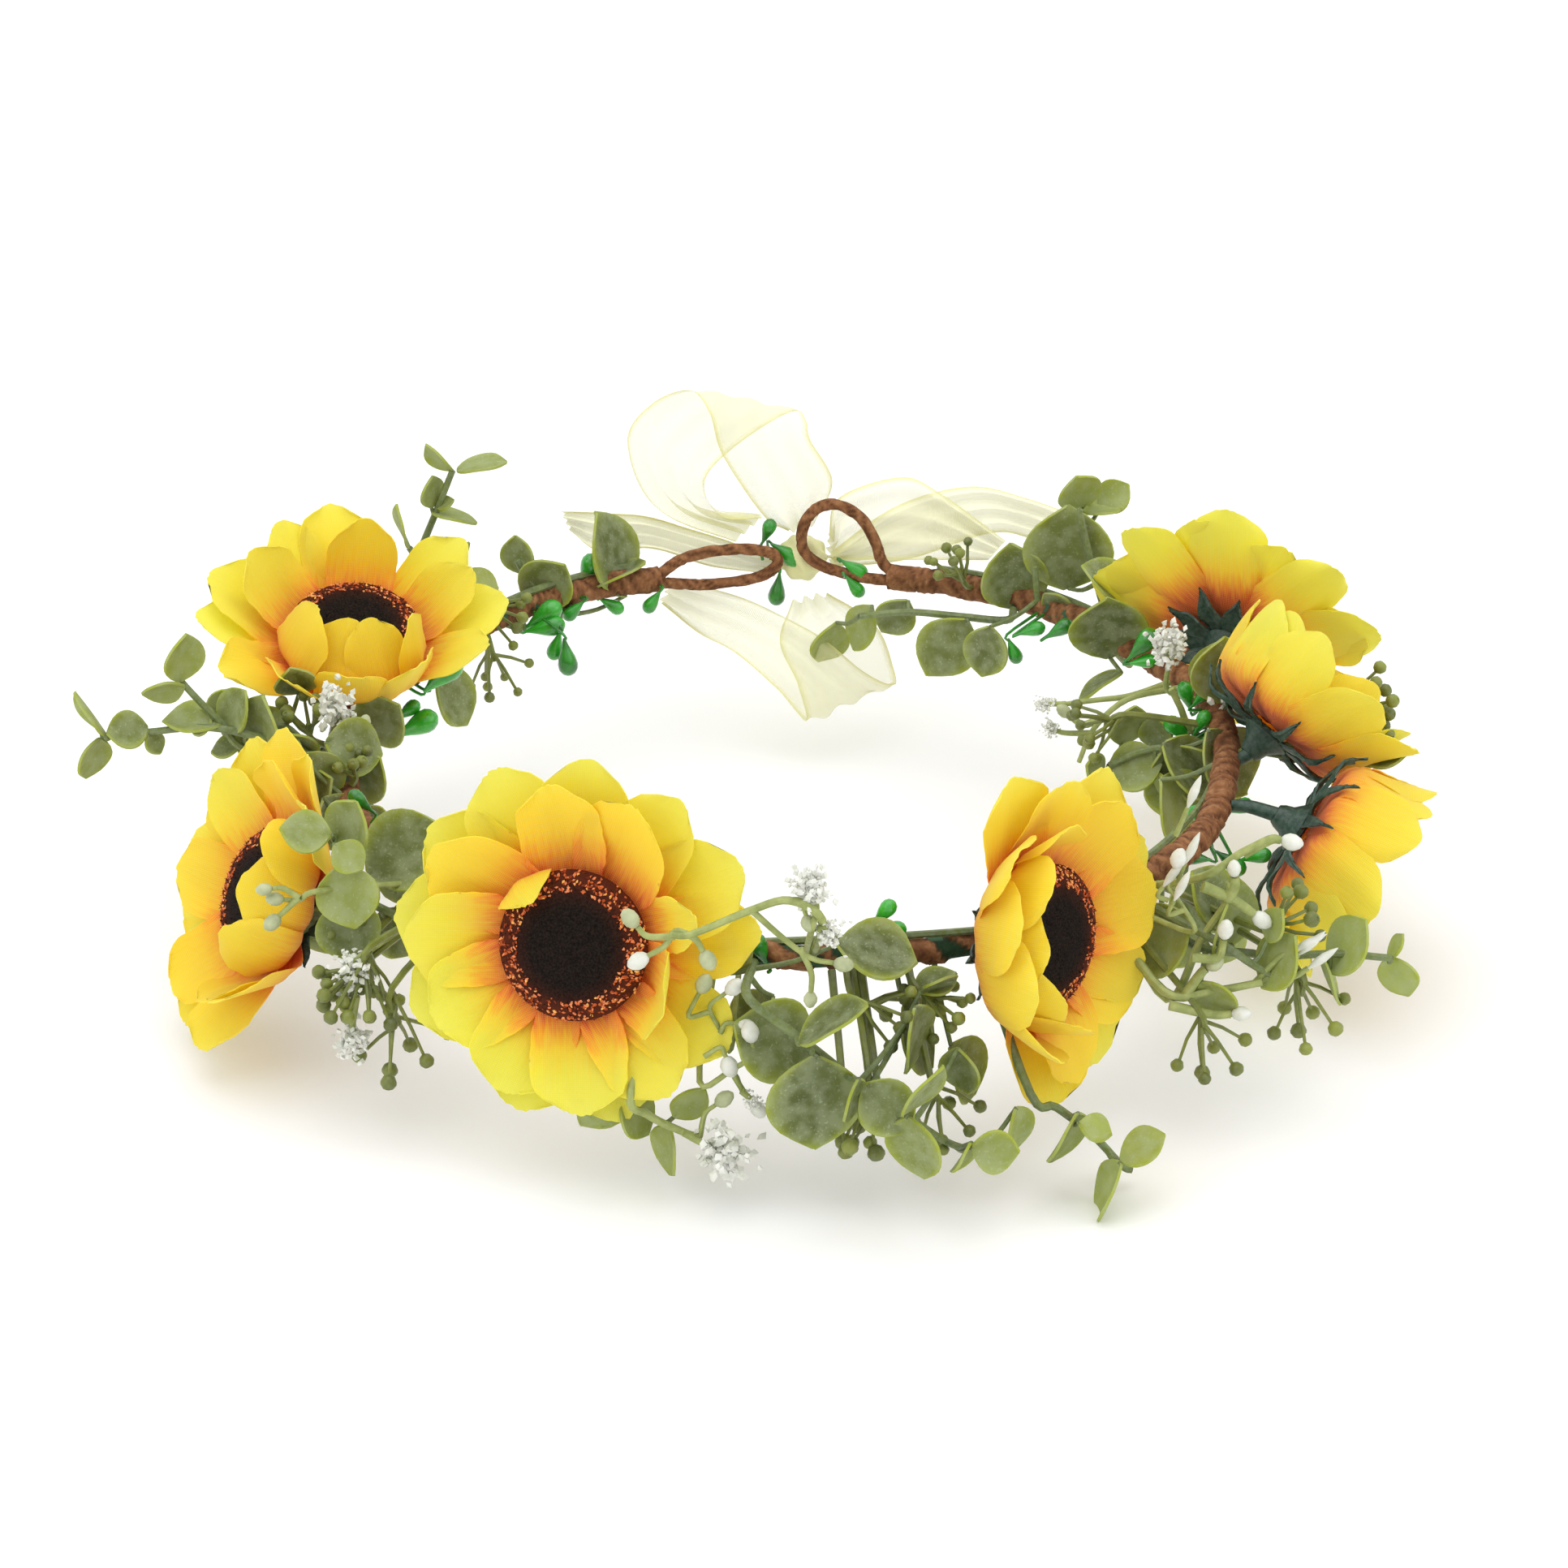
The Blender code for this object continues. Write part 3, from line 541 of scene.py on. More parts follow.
class Bench:
    """Edit-mode work on one object at a time, as it is done by hand."""

    @staticmethod
    def clear() -> None:
        """Leaves edit mode and selects nothing."""
        if bpy.context.object and bpy.context.object.mode != "OBJECT":
            bpy.ops.object.mode_set(mode="OBJECT")
        bpy.ops.object.select_all(action="DESELECT")

    @classmethod
    def start(cls, primitive: Callable, **sizes: object) -> bpy.types.Object:
        """Adds a primitive, all selected, and opens it in edit mode."""
        cls.clear()
        primitive(**sizes)
        bpy.ops.object.mode_set(mode="EDIT")
        return bpy.context.object

    @staticmethod
    def outwards() -> None:
        """Turns every face of the object in edit mode outwards."""
        bpy.ops.mesh.select_all(action="SELECT")
        bpy.ops.mesh.normals_make_consistent(inside=False)

    @staticmethod
    def show(name: str, data: bpy.types.ID) -> bpy.types.Object:
        """An object of this data, linked, selected and active."""
        obj = bpy.data.objects.new(name, data)
        bpy.context.scene.collection.objects.link(obj)
        obj.select_set(True)
        bpy.context.view_layer.objects.active = obj
        return obj

    @staticmethod
    def pick(obj: bpy.types.Object, test: Callable[[Vector], bool]) -> None:
        """Selects the vertices of the object in edit mode whose place passes the test."""
        bpy.ops.mesh.select_mode(type="VERT")
        bpy.ops.mesh.select_all(action="DESELECT")
        edited = bmesh.from_edit_mesh(obj.data)
        for vert in edited.verts:
            if test(vert.co):
                vert.select_set(True)
        edited.select_flush(True)
        bmesh.update_edit_mesh(obj.data)

    @staticmethod
    def take(obj: bpy.types.Object) -> Shape:
        """Reads the finished object as a shape and removes it."""
        if obj.mode != "OBJECT":
            bpy.ops.object.mode_set(mode="OBJECT")
        mesh = obj.data
        points = np.array([obj.matrix_world @ v.co for v in mesh.vertices], float)
        faces = [tuple(face.vertices) for face in mesh.polygons]
        bpy.data.objects.remove(obj)
        bpy.data.meshes.remove(mesh)
        return Shape(points, faces, np.zeros((len(points), 2)))

    @classmethod
    def blade(cls, columns: int, outline: Sequence[float]) -> Shape:
        """A flat blade one unit long whose rows are resized to the outline's half widths.

        Args:
            columns: How many faces lie across the blade.
            outline: The half width of each row, from root to tip, in units of the widest.

        Returns:
            The blade, with u across and v along kept as values, and rim 1 on its outline.
        """
        rows = len(outline) - 1
        grid = {"x_subdivisions": columns, "y_subdivisions": rows, "size": 1.0, "location": (0.0, 0.5, 0.0)}
        obj = cls.start(bpy.ops.mesh.primitive_grid_add, **grid)
        for row, half in enumerate(outline):
            level = row / rows - 0.5
            cls.pick(obj, lambda co, level=level: abs(co.y - level) < 0.2 / rows)
            bpy.ops.transform.resize(value=(2.0 * half, 1.0, 1.0), center_override=(0.0, level + 0.5, 0.0))
        made = cls.take(obj)
        half_at = np.interp(made.points[:, 1], np.linspace(0.0, 1.0, rows + 1), outline)
        across = made.points[:, 0] / half_at
        made.value("u", across).value("v", made.points[:, 1])
        made.value("rim", np.maximum(np.abs(across), made.points[:, 1] ** 8))
        return made

    @classmethod
    def turned(cls, rings: Sequence[tuple[float, float]], sides: int) -> Shape:
        """A closed body drawn up ring by ring from a filled circle.

        Args:
            rings: The radius and height of each ring, from the bottom up.
            sides: How many sides each ring has.

        Returns:
            The body.
        """
        radius, height = rings[0]
        circle = {"vertices": sides, "radius": radius, "fill_type": "NGON", "location": (0.0, 0.0, height)}
        obj = cls.start(bpy.ops.mesh.primitive_circle_add, **circle)
        bpy.ops.mesh.select_all(action="SELECT")
        for wide, level in rings[1:]:
            bpy.ops.mesh.extrude_region_move(TRANSFORM_OT_translate={"value": (0.0, 0.0, level - height)})
            grow = wide / radius
            bpy.ops.transform.resize(value=(grow, grow, 1.0), center_override=(0.0, 0.0, level))
            radius, height = wide, level
        cls.outwards()
        return cls.take(obj)

    @classmethod
    def tubes(cls, runs: Sequence[tuple[Sequence[Vector], float]], sides: int = 6) -> Shape:
        """Round tubes along runs of points, with closed ends.

        Args:
            runs: The points of each tube and its radius. Each tube narrows a little to its end.
            sides: How many sides a tube has, an even number of 4 or more.

        Returns:
            All tubes as one shape.
        """
        cls.clear()
        data = bpy.data.curves.new("tubes", "CURVE")
        data.dimensions = "3D"
        data.bevel_depth = 1.0
        data.bevel_resolution = (sides - 4) // 2
        data.use_fill_caps = True
        for points, radius in runs:
            spline = data.splines.new("POLY")
            spline.points.add(len(points) - 1)
            last = max(len(points) - 1, 1)
            for i, (point, place) in enumerate(zip(spline.points, points)):
                point.co = (*place, 1.0)
                point.radius = radius * (1.0 - 0.25 * i / last)
        cls.show("tubes", data)
        bpy.ops.object.convert(target="MESH")
        obj = bpy.context.object
        bpy.ops.object.mode_set(mode="EDIT")
        bpy.ops.mesh.select_all(action="SELECT")
        bpy.ops.mesh.remove_doubles(threshold=1e-6)
        cls.outwards()
        return cls.take(obj)

    @classmethod
    def chip(cls) -> Shape:
        """A small broken flake: a cone's four sides pulled out of square."""
        obj = cls.start(bpy.ops.mesh.primitive_cone_add, vertices=4, radius1=1.0, radius2=0.55, depth=0.9)
        cls.pick(obj, lambda co: co.z > 0.0 and co.x > 0.0)
        bpy.ops.transform.translate(value=(0.35, 0.1, 0.3))
        cls.pick(obj, lambda co: co.z < 0.0 and co.y > 0.0)
        bpy.ops.transform.resize(value=(0.6, 0.7, 1.0), center_override=(0.0, 0.0, 0.0))
        return cls.take(obj)

    @classmethod
    def spike(cls) -> Shape:
        """A three-sided fibre one unit long."""
        cone = {"vertices": 3, "radius1": 0.12, "radius2": 0.0, "depth": 1.0, "location": (0.0, 0.0, 0.5)}
        obj = cls.start(bpy.ops.mesh.primitive_cone_add, **cone)
        cls.pick(obj, lambda co: co.z > 0.4)
        bpy.ops.transform.translate(value=(0.15, 0.05, 0.0))
        return cls.take(obj)


def joined(shapes: Sequence[Shape]) -> Shape:
    """Several shapes as one. A value that one of them lacks is taken as 0 there."""
    names = sorted({name for shape in shapes for name in shape.values})
    faces: list[tuple[int, ...]] = []
    offset = 0
    for shape in shapes:
        faces.extend(tuple(i + offset for i in face) for face in shape.faces)
        offset += len(shape.points)
    values = {}
    for name in names:
        values[name] = np.concatenate([shape.values.get(name, np.zeros(len(shape.points))) for shape in shapes])
    points = np.concatenate([shape.points for shape in shapes])
    return Shape(points, faces, np.concatenate([shape.cloth for shape in shapes]), values)


Rule = Callable[[np.ndarray, np.ndarray], np.ndarray]


def sheet_of(columns: int, rows: int, place: Rule, wraps: bool = False) -> Shape:
    """A grid whose points go where a rule says.

    Args:
        columns: Faces along.
        rows: Faces across.
        place: Gives points from arrays of the shares along and across.
        wraps: The last row joins the first.

    Returns:
        The shape, with its shares kept as v (along) and u (across, from -1 to 1).
    """
    lines = rows if wraps else rows + 1
    along, across = np.meshgrid(np.arange(columns + 1) / columns, np.arange(lines) / rows, indexing="ij")
    along, across = along.ravel(), across.ravel()
    faces = []
    for i in range(columns):
        for j in range(rows):
            k = (j + 1) % lines
            faces.append((i * lines + j, (i + 1) * lines + j, (i + 1) * lines + k, i * lines + k))
    made = Shape(place(along, across), faces, np.stack([across, along], 1))
    return made.value("v", along).value("u", 2.0 * across - 1.0)


def ease(share: np.ndarray | float) -> np.ndarray | float:
    """0 below 0, 1 above 1, and smooth between."""
    held = np.clip(share, 0.0, 1.0)
    return held * held * (3.0 - 2.0 * held)


def put(
    name: str,
    shape: Shape,
    finish: Finish,
    slot: Slot,
    body: str = "root",
    nodes: Sequence[str] = (),
    thickness: float = 0.0,
    smooth: float = 40.0,
    recalculate: bool = False,
) -> bpy.types.Object:
    """Makes a finished piece and lets it ride on its body.

    Args:
        name: The piece's name.
        shape: Its mesh.
        finish: What covers it.
        slot: The record's slot of that finish. Not used.
        body: The body it rides on.
        nodes: The frame's nodes that it stands for.
        thickness: The wall that an open sheet gets.
        smooth: Edges flatter than this angle are shaded smooth.
        recalculate: Turns the faces outwards first.

    Returns:
        The piece.
    """
    Bench.clear()
    mesh = bpy.data.meshes.new(name)
    mesh.from_pydata(shape.points.tolist(), [], shape.faces)
    layer = mesh.uv_layers.new(name="cloth")
    corners = np.zeros(len(mesh.loops), int)
    mesh.loops.foreach_get("vertex_index", corners)
    layer.data.foreach_set("uv", shape.cloth[corners].astype(np.float32).ravel())
    for label, amounts in shape.values.items():
        if label in ("u", "v"):
            continue
        held = mesh.attributes.new(label, "FLOAT", "POINT")
        held.data.foreach_set("value", amounts.astype(np.float32))
    mesh.materials.append(finish.material())
    obj = Bench.show(name, mesh)
    if recalculate:
        bpy.ops.object.mode_set(mode="EDIT")
        Bench.outwards()
        bpy.ops.object.mode_set(mode="OBJECT")
    if thickness > 0.0:
        wall = obj.modifiers.new("Wall", "SOLIDIFY")
        wall.thickness = thickness
        wall.offset = 0.0
        bpy.ops.object.modifier_apply(modifier=wall.name)
    bpy.ops.object.shade_smooth_by_angle(angle=math.radians(smooth))
    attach(obj, body)
    if nodes:
        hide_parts(*nodes)
    LOG.info("%s: %d faces", name, len(obj.data.polygons))
    return obj


def seat(point: Vector, out: Vector, spin: float = 0.0, size: float | Sequence[float] = 1.0) -> Matrix:
    """A placement whose +Z looks along a direction.

    Args:
        point: Where the copy's origin goes.
        out: The direction of its +Z.
        spin: A turn about that direction, in degrees.
        size: One scale, or one for each axis.

    Returns:
        The matrix.
    """
    scale = (size, size, size) if isinstance(size, (int, float)) else size
    turn = out.to_track_quat("Z", "Y").to_matrix().to_4x4()
    spun = Matrix.Rotation(math.radians(spin), 4, "Z")
    return Matrix.Translation(point) @ turn @ spun @ Matrix.Diagonal((*scale, 1.0))


def heading(azimuth: float, elevation: float = 0.0) -> Vector:
    """The unit vector of a direction given by two angles."""
    flat = math.cos(math.radians(elevation))
    turn = math.radians(azimuth)
    return Vector((flat * math.cos(turn), flat * math.sin(turn), math.sin(math.radians(elevation))))


def smooth_run(points: Sequence[Sequence[float]], steps: int) -> list[Vector]:
    """A smooth curve through the points.

    Args:
        points: What the curve passes through.
        steps: How many steps lie between one point and the next.

    Returns:
        The curve's points.
    """
    knots = [Vector(p) for p in points]
    knots = [knots[0] * 2 - knots[1], *knots, knots[-1] * 2 - knots[-2]]
    made = []
    for a, b, c, d in zip(knots, knots[1:], knots[2:], knots[3:]):
        for i in range(steps):
            t = i / steps
            made.append(
                0.5 * ((b * 2) + (c - a) * t + (a * 2 - b * 5 + c * 4 - d) * t * t + (b * 3 - a - c * 3 + d) * t**3)
            )
    made.append(knots[-2])
    return made


# ---------------------------------------------------------------- the band

# The wire's path round each eye, in millimetres.
EYES = {
    "tie_eye_left": (
        (-32, 88.2, 0), (-28.2, 89.6, 0.8), (-24, 91.2, 3.2), (-17, 92.2, 5), (-9, 93, 5.4), (-3.2, 93.4, 4.2),
        (-1.4, 93.6, 1.6), (-4.4, 93.2, -1), (-11, 92.6, -2.6), (-18.5, 91.8, -3), (-24.5, 90.6, -2.2),
        (-30, 88.4, -0.8),
    ),
    "tie_eye_right": (
        (29, 88.6, 0.2), (24.6, 90, 1.2), (22.2, 90.6, 3.6), (20.8, 91.2, 8), (17.6, 91.8, 13.4), (12.2, 92.4, 16.6),
        (7.2, 93, 15.2), (4.4, 93.6, 10.6), (4.2, 93.8, 5.6), (6.6, 93.4, 2.4), (11, 92.6, 0.4), (17, 91.4, -0.8),
        (23, 89.9, -0.9), (28, 88.8, -0.4),
    ),
}


@dataclass
class Band:
    """The ring of wire and tape under a brown paper twist."""

    radius: float = 0.093
    start: float = 108.0
    end: float = 435.0
    thickness: float = 0.0030
    pitch: float = 0.0092
    sides: int = 20
    eye_thickness: float = 0.00135
    steps: int = 640
    bare_from: float = 252.0
    bare_to: float = 297.0

    def beside(self, angle: float, turn: float = 0.0, distance: float = 0.0) -> Vector:
        """A point at this distance from the band's centre line."""
        out = distance * math.cos(math.radians(turn))
        up = distance * math.sin(math.radians(turn))
        return heading(angle) * (self.radius + out) + UP * up

    def nearest(self, point: Vector) -> Vector:
        """The point of the winding's surface that lies nearest to a point."""
        angle = math.degrees(math.atan2(point.y, point.x))
        centre = self.beside(angle)
        return centre + (point - centre).normalized() * (self.thickness - 0.0004)

    def wound(self, route: np.ndarray, out: np.ndarray, up: np.ndarray, bare: np.ndarray, radius: float) -> Shape:
        """A tube with a strip of crumpled paper wound round it.

        Args:
            route: The centre line's points.
            out: A direction square to the line at each point.
            up: The direction square to both.
            bare: 1 where the winding is loose and shows the tape, 0 where it is tight.
            radius: The winding's outer radius.

        Returns:
            The shape, with cover 1 on paper and 0 on tape, and a value for the painted shade of the strip's folds,
            darker in their creases.
        """
        lengths = np.concatenate([[0.0], np.cumsum(np.linalg.norm(np.diff(route, axis=0), axis=1))])
        turns = lengths / self.pitch
        rng = np.random.default_rng(11)
        ring = np.arange(self.sides) / self.sides
        turns = turns + 0.22 * np.sin(turns * 1.9) + 0.12 * np.sin(turns * 5.3 + 1.0)
        wind = np.mod(turns[:, None] + ring[None, :], 1.0)
        rough = rng.normal(0.0, 1.0, wind.shape)
        rough = (rough + np.roll(rough, 1, 0) + np.roll(rough, 1, 1) + np.roll(rough, 2, 0)) / 4.0
        lumps = np.sin(turns * 3.1)[:, None] * np.cos(2.0 * math.pi * ring + 2.0)[None, :]
        loose = bare[:, None]
        strip = ease((0.47 - np.abs(wind - 0.5)) / 0.05)
        strip_loose = ease((0.27 - np.abs(wind - 0.5)) / 0.04)
        cover = strip_loose * loose + (1.0 - loose)
        fold = np.abs(np.sin(2.5 * math.pi * (wind + 0.10 * np.sin(turns * 2.3)[:, None]))) ** 0.6
        tight_height = 0.74 + 0.26 * strip * (0.62 + 0.38 * fold)
        loose_height = 0.66 + 0.30 * strip_loose * (0.7 + 0.3 * fold)
        height = tight_height * (1.0 - loose) + loose_height * loose
        distance = radius * (height + (0.06 * rough + 0.05 * lumps) * cover)
        angle = 2.0 * math.pi * ring[None, :]
        points = (
            route[:, None, :]
            + (distance * np.cos(angle))[:, :, None] * out[:, None, :]
            + (distance * np.sin(angle))[:, :, None] * up[:, None, :]
        )
        faces = []
        for row in range(0, (len(route) - 1) * self.sides, self.sides):
            for j in range(self.sides):
                k = (j + 1) % self.sides
                faces.append((row + j, row + k, row + self.sides + k, row + self.sides + j))
        grid = points.reshape(-1, 3)
        faces.append(tuple(range(self.sides - 1, -1, -1)))
        faces.append(tuple(range(len(grid) - self.sides, len(grid))))
        made = Shape(grid, faces, np.zeros((len(grid), 2)))
        made.value("cover", cover.ravel())
        # Painted shade: these fold values darken the paper's colour in the creases and lighten it on the crests.
        return made.value("ridge", (fold * cover).ravel())

    def build(self) -> None:
        """The wound band, and the wire and tape inside it."""
        angles = np.radians(np.linspace(self.start, self.end, self.steps))
        out = np.stack([np.cos(angles), np.sin(angles), np.zeros(self.steps)], 1)
        up = np.tile([0.0, 0.0, 1.0], (self.steps, 1))
        sway = 0.0006 * np.sin(angles * 9.0)
        route = out * (self.radius + sway[:, None]) + up * (0.0005 * np.sin(angles * 7.0))[:, None]
        degrees = np.degrees(angles)
        bare = ease((degrees - self.bare_from) / 6.0) * ease((self.bare_to - degrees) / 6.0)
        shape = self.wound(route, out, up, bare, self.thickness)
        put("paper_band", shape, PAPER, Slot.PAPER, nodes=("band_paper_wrap",), smooth=60.0, recalculate=True)
        self._eyes()
        self._bound_stems()
        for node, finish in (("band_wire", STEEL), ("band_tape", TAPE)):
            data = FRAME["nodes"][node].data
            data.materials.clear()
            data.materials.append(finish.material())

    def _eyes(self) -> None:
        """The paper-wound wire eyes that the ribbon is tied through."""
        for name, places in EYES.items():
            route = np.array(smooth_run([Vector(p) * MM for p in places], 8))
            slope = np.gradient(route, axis=0)
            slope /= np.linalg.norm(slope, axis=1)[:, None]
            depth = np.tile(np.array(heading(80.0)), (len(route), 1))
            side = np.cross(slope, depth)
            side /= np.linalg.norm(side, axis=1)[:, None]
            flat = np.cross(side, slope)
            shape = self.wound(route, side, flat, np.zeros(len(route)), self.eye_thickness)
            put(name + "_paper", shape, PAPER, Slot.PAPER, nodes=(name,), smooth=60.0, recalculate=True)

    def _bound_stems(self) -> None:
        """Green stems that run beside the band before they leave it."""
        runs = []
        spans = (
            (112.0, 176.0, 60.0, 150.0), (128.0, 190.0, -40.0, 120.0), (205.0, 262.0, -30.0, 140.0),
            (250.0, 300.0, 200.0, -160.0), (300.0, 352.0, 40.0, 170.0), (372.0, 428.0, -60.0, 150.0),
        )
        steps = 40
        for first, last, turn, spin in spans:
            points = []
            for share in (i / steps for i in range(steps + 1)):
                points.append(self.beside(first + (last - first) * share, turn + spin * share, 0.0036))
            runs.append((points, 0.0009))
        shape = Bench.tubes(runs, 6).value("tone", 0.4)
        put("bound_stems", shape, STEM, Slot.LEAF)


def profile(depth: float, *places: float) -> list[Vector]:
    """Points in metres from a depth and pairs of x and z in millimetres."""
    return [Vector((x, depth, z)) * MM for x, z in zip(places[::2], places[1::2])]


def own_node(name: str) -> tuple[str, ...]:
    """The frame's node of this name, if it has one."""
    return (name,) if name in FRAME["nodes"] else ()


def own_random(name: str) -> random.Random:
    """Random numbers that depend on a piece's name alone."""
    return random.Random(sum(map(ord, name)))


# ---------------------------------------------------------------- sunflowers


@dataclass(frozen=True)
class Petal:
    """One petal: its place round the head and how it is bent, in degrees and metres."""

    angle: float
    length: float = 0.0365
    width: float = 0.0165
    lift: float = 14.0
    curl: float = -10.0
    twist: float = 0.0
    trough: float = 0.16
    sway: float = 0.0
    # Lemon at 1, golden at 0. In the listed petals this is partly painted shade.
    tone: float = 0.5


PETAL_OUTLINE = (
    0.36, 0.44, 0.52, 0.61, 0.70, 0.78, 0.86, 0.92, 0.96, 0.99, 1.0, 1.0, 1.0, 1.0, 0.99, 0.96, 0.89, 0.75, 0.46,
)
SEPAL_OUTLINE = (0.50, 0.68, 0.86, 1.0, 0.86, 0.66, 0.45, 0.24, 0.03)
LEAF_OUTLINE = (0.10, 0.48, 0.74, 0.90, 0.98, 1.0, 0.96, 0.86, 0.69, 0.40, 0.03)


@dataclass
class Sunflower:
    """A head of petals and seeds that turns on its calyx, and the calyx with its stem."""

    number: int
    cup: float
    sepal_reach: float = 0.0165
    sepal_width: float = 0.0056
    full_reach: float = 0.0365
    flat_radius: float = 0.0145
    root_radius: float = 0.0040
    bend_steps: int = 60
    cloth_thickness: float = 0.00022
    fray: float = 0.00028
    back_height: float = -0.0016
    front_height: float = 0.0006
    seed_radius: float = 0.0146
    seed_foot: float = 0.0017
    crumbs: int = 620
    fibres: int = 620
    sepals: int = 10
    back_from: float = 0.0345
    broad: tuple[int, ...] = (1, 2)
    blade: Shape | None = None
    sepal: Shape | None = None
    chip: Shape | None = None
    fibre: Shape | None = None

    def __post_init__(self) -> None:
        """Finds the head's place from its joint."""
        joint = next(j for j in FRAME["joints"] if j["name"] == f"flower_{self.number}_turn")
        self.place = Vector(joint["pos_m"])
        self.facing = Vector(joint["axis"])
        self.body = joint["child"]
        turn = self.facing.to_track_quat("Z", "Y").to_matrix().to_4x4()
        self.home = Matrix.Translation(self.place) @ turn
        self.rng = random.Random(100 + self.number)

    def bent(self, blade: Shape, petal: Petal, height: float, ragged: float) -> Shape:
        """A copy of a flat blade, bent as a petal and turned to its angle.

        Args:
            blade: The flat blade.
            petal: How it is bent.
            height: How high its root lies on the head's axis.
            ragged: How far its outline is frayed, in metres.

        Returns:
            The petal in the head's own space.
        """
        made = blade.copy()
        u, v = made.values["u"], made.values["v"]
        half = blade.points[:, 0] * petal.width / 2.0
        run = petal.length - self.root_radius
        steps = np.linspace(0.0, run, self.bend_steps)
        rise = ease((self.root_radius + steps - (self.flat_radius - 0.003)) / 0.009)
        bend = math.radians(petal.lift) * rise + math.radians(petal.curl) * (steps / run) ** 2.4
        step = steps[1]
        radius = self.root_radius + np.concatenate([[0.0], np.cumsum(np.cos(bend[:-1]) * step)])
        level = height + np.concatenate([[0.0], np.cumsum(np.sin(bend[:-1]) * step)])
        crown = 0.055 * petal.length * u**2 * ease((v - 0.62) / 0.38)
        s = np.clip(v * run - crown, 0.0, run)
        r, z, b = (np.interp(s, steps, line) for line in (radius, level, bend))
        phase = self.rng.uniform(0.0, 6.28)
        fade = ease(v / 0.35)
        dip = petal.trough * np.abs(half) * np.abs(u) * fade
        pleats = 0.00022 * np.cos(u * 7.0 + phase) * fade * (1.0 - 0.5 * v)
        waves = 0.0006 * np.sin(v * 9.0 + phase) * np.abs(u) ** 2 * fade
        wring = math.radians(petal.twist) * v
        out = dip + pleats + waves + half * np.sin(wring)
        side = half * np.cos(wring) + petal.sway * petal.length * v**2
        x = r - np.sin(b) * out
        zed = z + np.cos(b) * out
        edge = made.values["rim"] > 0.98
        fray = np.array([self.rng.uniform(-1.0, 1.0) for _ in range(len(u))]) * ragged * edge
        x = x + fray * np.cos(b)
        side = side + fray * 0.6
        turn = math.radians(petal.angle)
        made.points = np.stack(
            [x * math.cos(turn) - side * math.sin(turn), x * math.sin(turn) + side * math.cos(turn), zed], 1
        )
        made.cloth = np.stack([half, s], 1) / CLOTH_UNIT
        made.value("along", np.clip((self.root_radius + s) / self.full_reach, 0.0, 1.0))
        return made.value("tone", petal.tone)

    def layer(self, name: str, petals: Sequence[Petal], height: float) -> None:
        """One layer of petals.

        Args:
            name: The layer's name after the flower's.
            petals: Its petals.
            height: How high it lies on the head's axis.
        """
        shapes = []
        for i, petal in enumerate(petals):
            shapes.append(self.bent(self.blade, petal, height + self.cloth_thickness * (i % 3), self.fray))
        shape = joined(shapes).moved(self.home)
        node = f"flower_{self.number}_{name}"
        put(node + "_cloth", shape, PETAL, Slot.PETAL, self.body, (node,), self.cloth_thickness, smooth=50.0)

    def own_petals(self) -> tuple[list[Petal], list[Petal]]:
        """Both layers, from the listed petals or, where none are listed, spread evenly."""
        if self.number in PETALS:
            slim = MM if self.number in self.broad else 0.86 * MM
            listed = []
            for angle, length, width, lift, curl, tone in PETALS[self.number]:
                twist, sway = self.rng.uniform(-14, 14), self.rng.uniform(-0.06, 0.06)
                listed.append(Petal(angle, length * MM, width * slim, lift, curl, twist, 0.24, sway, tone))
            return [p for p in listed if p.length > self.back_from], [p for p in listed if p.length <= self.back_from]
        within = self.rng.uniform
        layers: tuple[list[Petal], list[Petal]] = ([], [])
        for row, (count, start, length) in zip(layers, ((9, 8.0, 0.0362), (8, 30.0, 0.0318))):
            for i in range(count):
                petal = Petal(
                    angle=start + 360.0 * i / count + within(-6.0, 6.0),
                    length=length * within(0.95, 1.0),
                    width=within(0.0145, 0.0175),
                    lift=self.cup + within(-5.0, 5.0),
                    curl=within(-28.0, 10.0),
                    twist=within(-16.0, 16.0),
                    trough=within(0.08, 0.34),
                    sway=within(-0.06, 0.06),
                    tone=within(0.65, 0.95),
                )
                row.append(petal)
        return layers

    def seeds(self) -> None:
        """The flocked button with its rim of crumbs."""
        foot, wide = self.seed_foot, self.seed_radius
        section = (
            (0.62, 0.0), (0.86, 0.0003), (0.98, 0.0012), (1.00, 0.0022), (0.95, 0.0033),
            (0.84, 0.0041), (0.70, 0.0045), (0.52, 0.0049), (0.30, 0.0051), (0.10, 0.0052),
        )
        button = Bench.turned([(share * wide, foot + rise) for share, rise in section], 40)
        away = np.hypot(button.points[:, 0], button.points[:, 1])
        button.value("crumb", ease((away / wide - 0.66) / 0.12) * 0.45).value("tone", 0.2)
        parts = [button]
        within = self.rng.uniform
        for _ in range(self.crumbs):
            share = within(0.66, 1.0) ** 0.8
            angle = within(0.0, 2.0 * math.pi)
            level = foot + float(np.interp(share, [0.7, 0.84, 0.95, 1.0], [0.0045, 0.0041, 0.0033, 0.0020]))
            point = Vector((share * wide * math.cos(angle), share * wide * math.sin(angle), level))
            out = Vector((math.cos(angle) * share, math.sin(angle) * share, 1.0)).normalized()
            lean = (out + Vector([within(-0.8, 0.8) for _ in range(3)])).normalized()
            size = within(0.00028, 0.00062)
            flake = self.chip.moved(seat(point, lean, within(0, 360), (size, size * 0.8, size * 0.5)))
            parts.append(flake.value("crumb", 1.0).value("tone", 0.12 + 0.88 * self.rng.random() ** 0.8))
        for _ in range(self.fibres):
            share = math.sqrt(self.rng.random()) * 0.98
            angle = within(0.0, 2.0 * math.pi)
            levels = [0.0051, 0.0050, 0.0044, 0.0040, 0.0028]
            level = foot + float(np.interp(share, [0.0, 0.3, 0.7, 0.84, 0.98], levels))
            point = Vector((share * wide * math.cos(angle), share * wide * math.sin(angle), level))
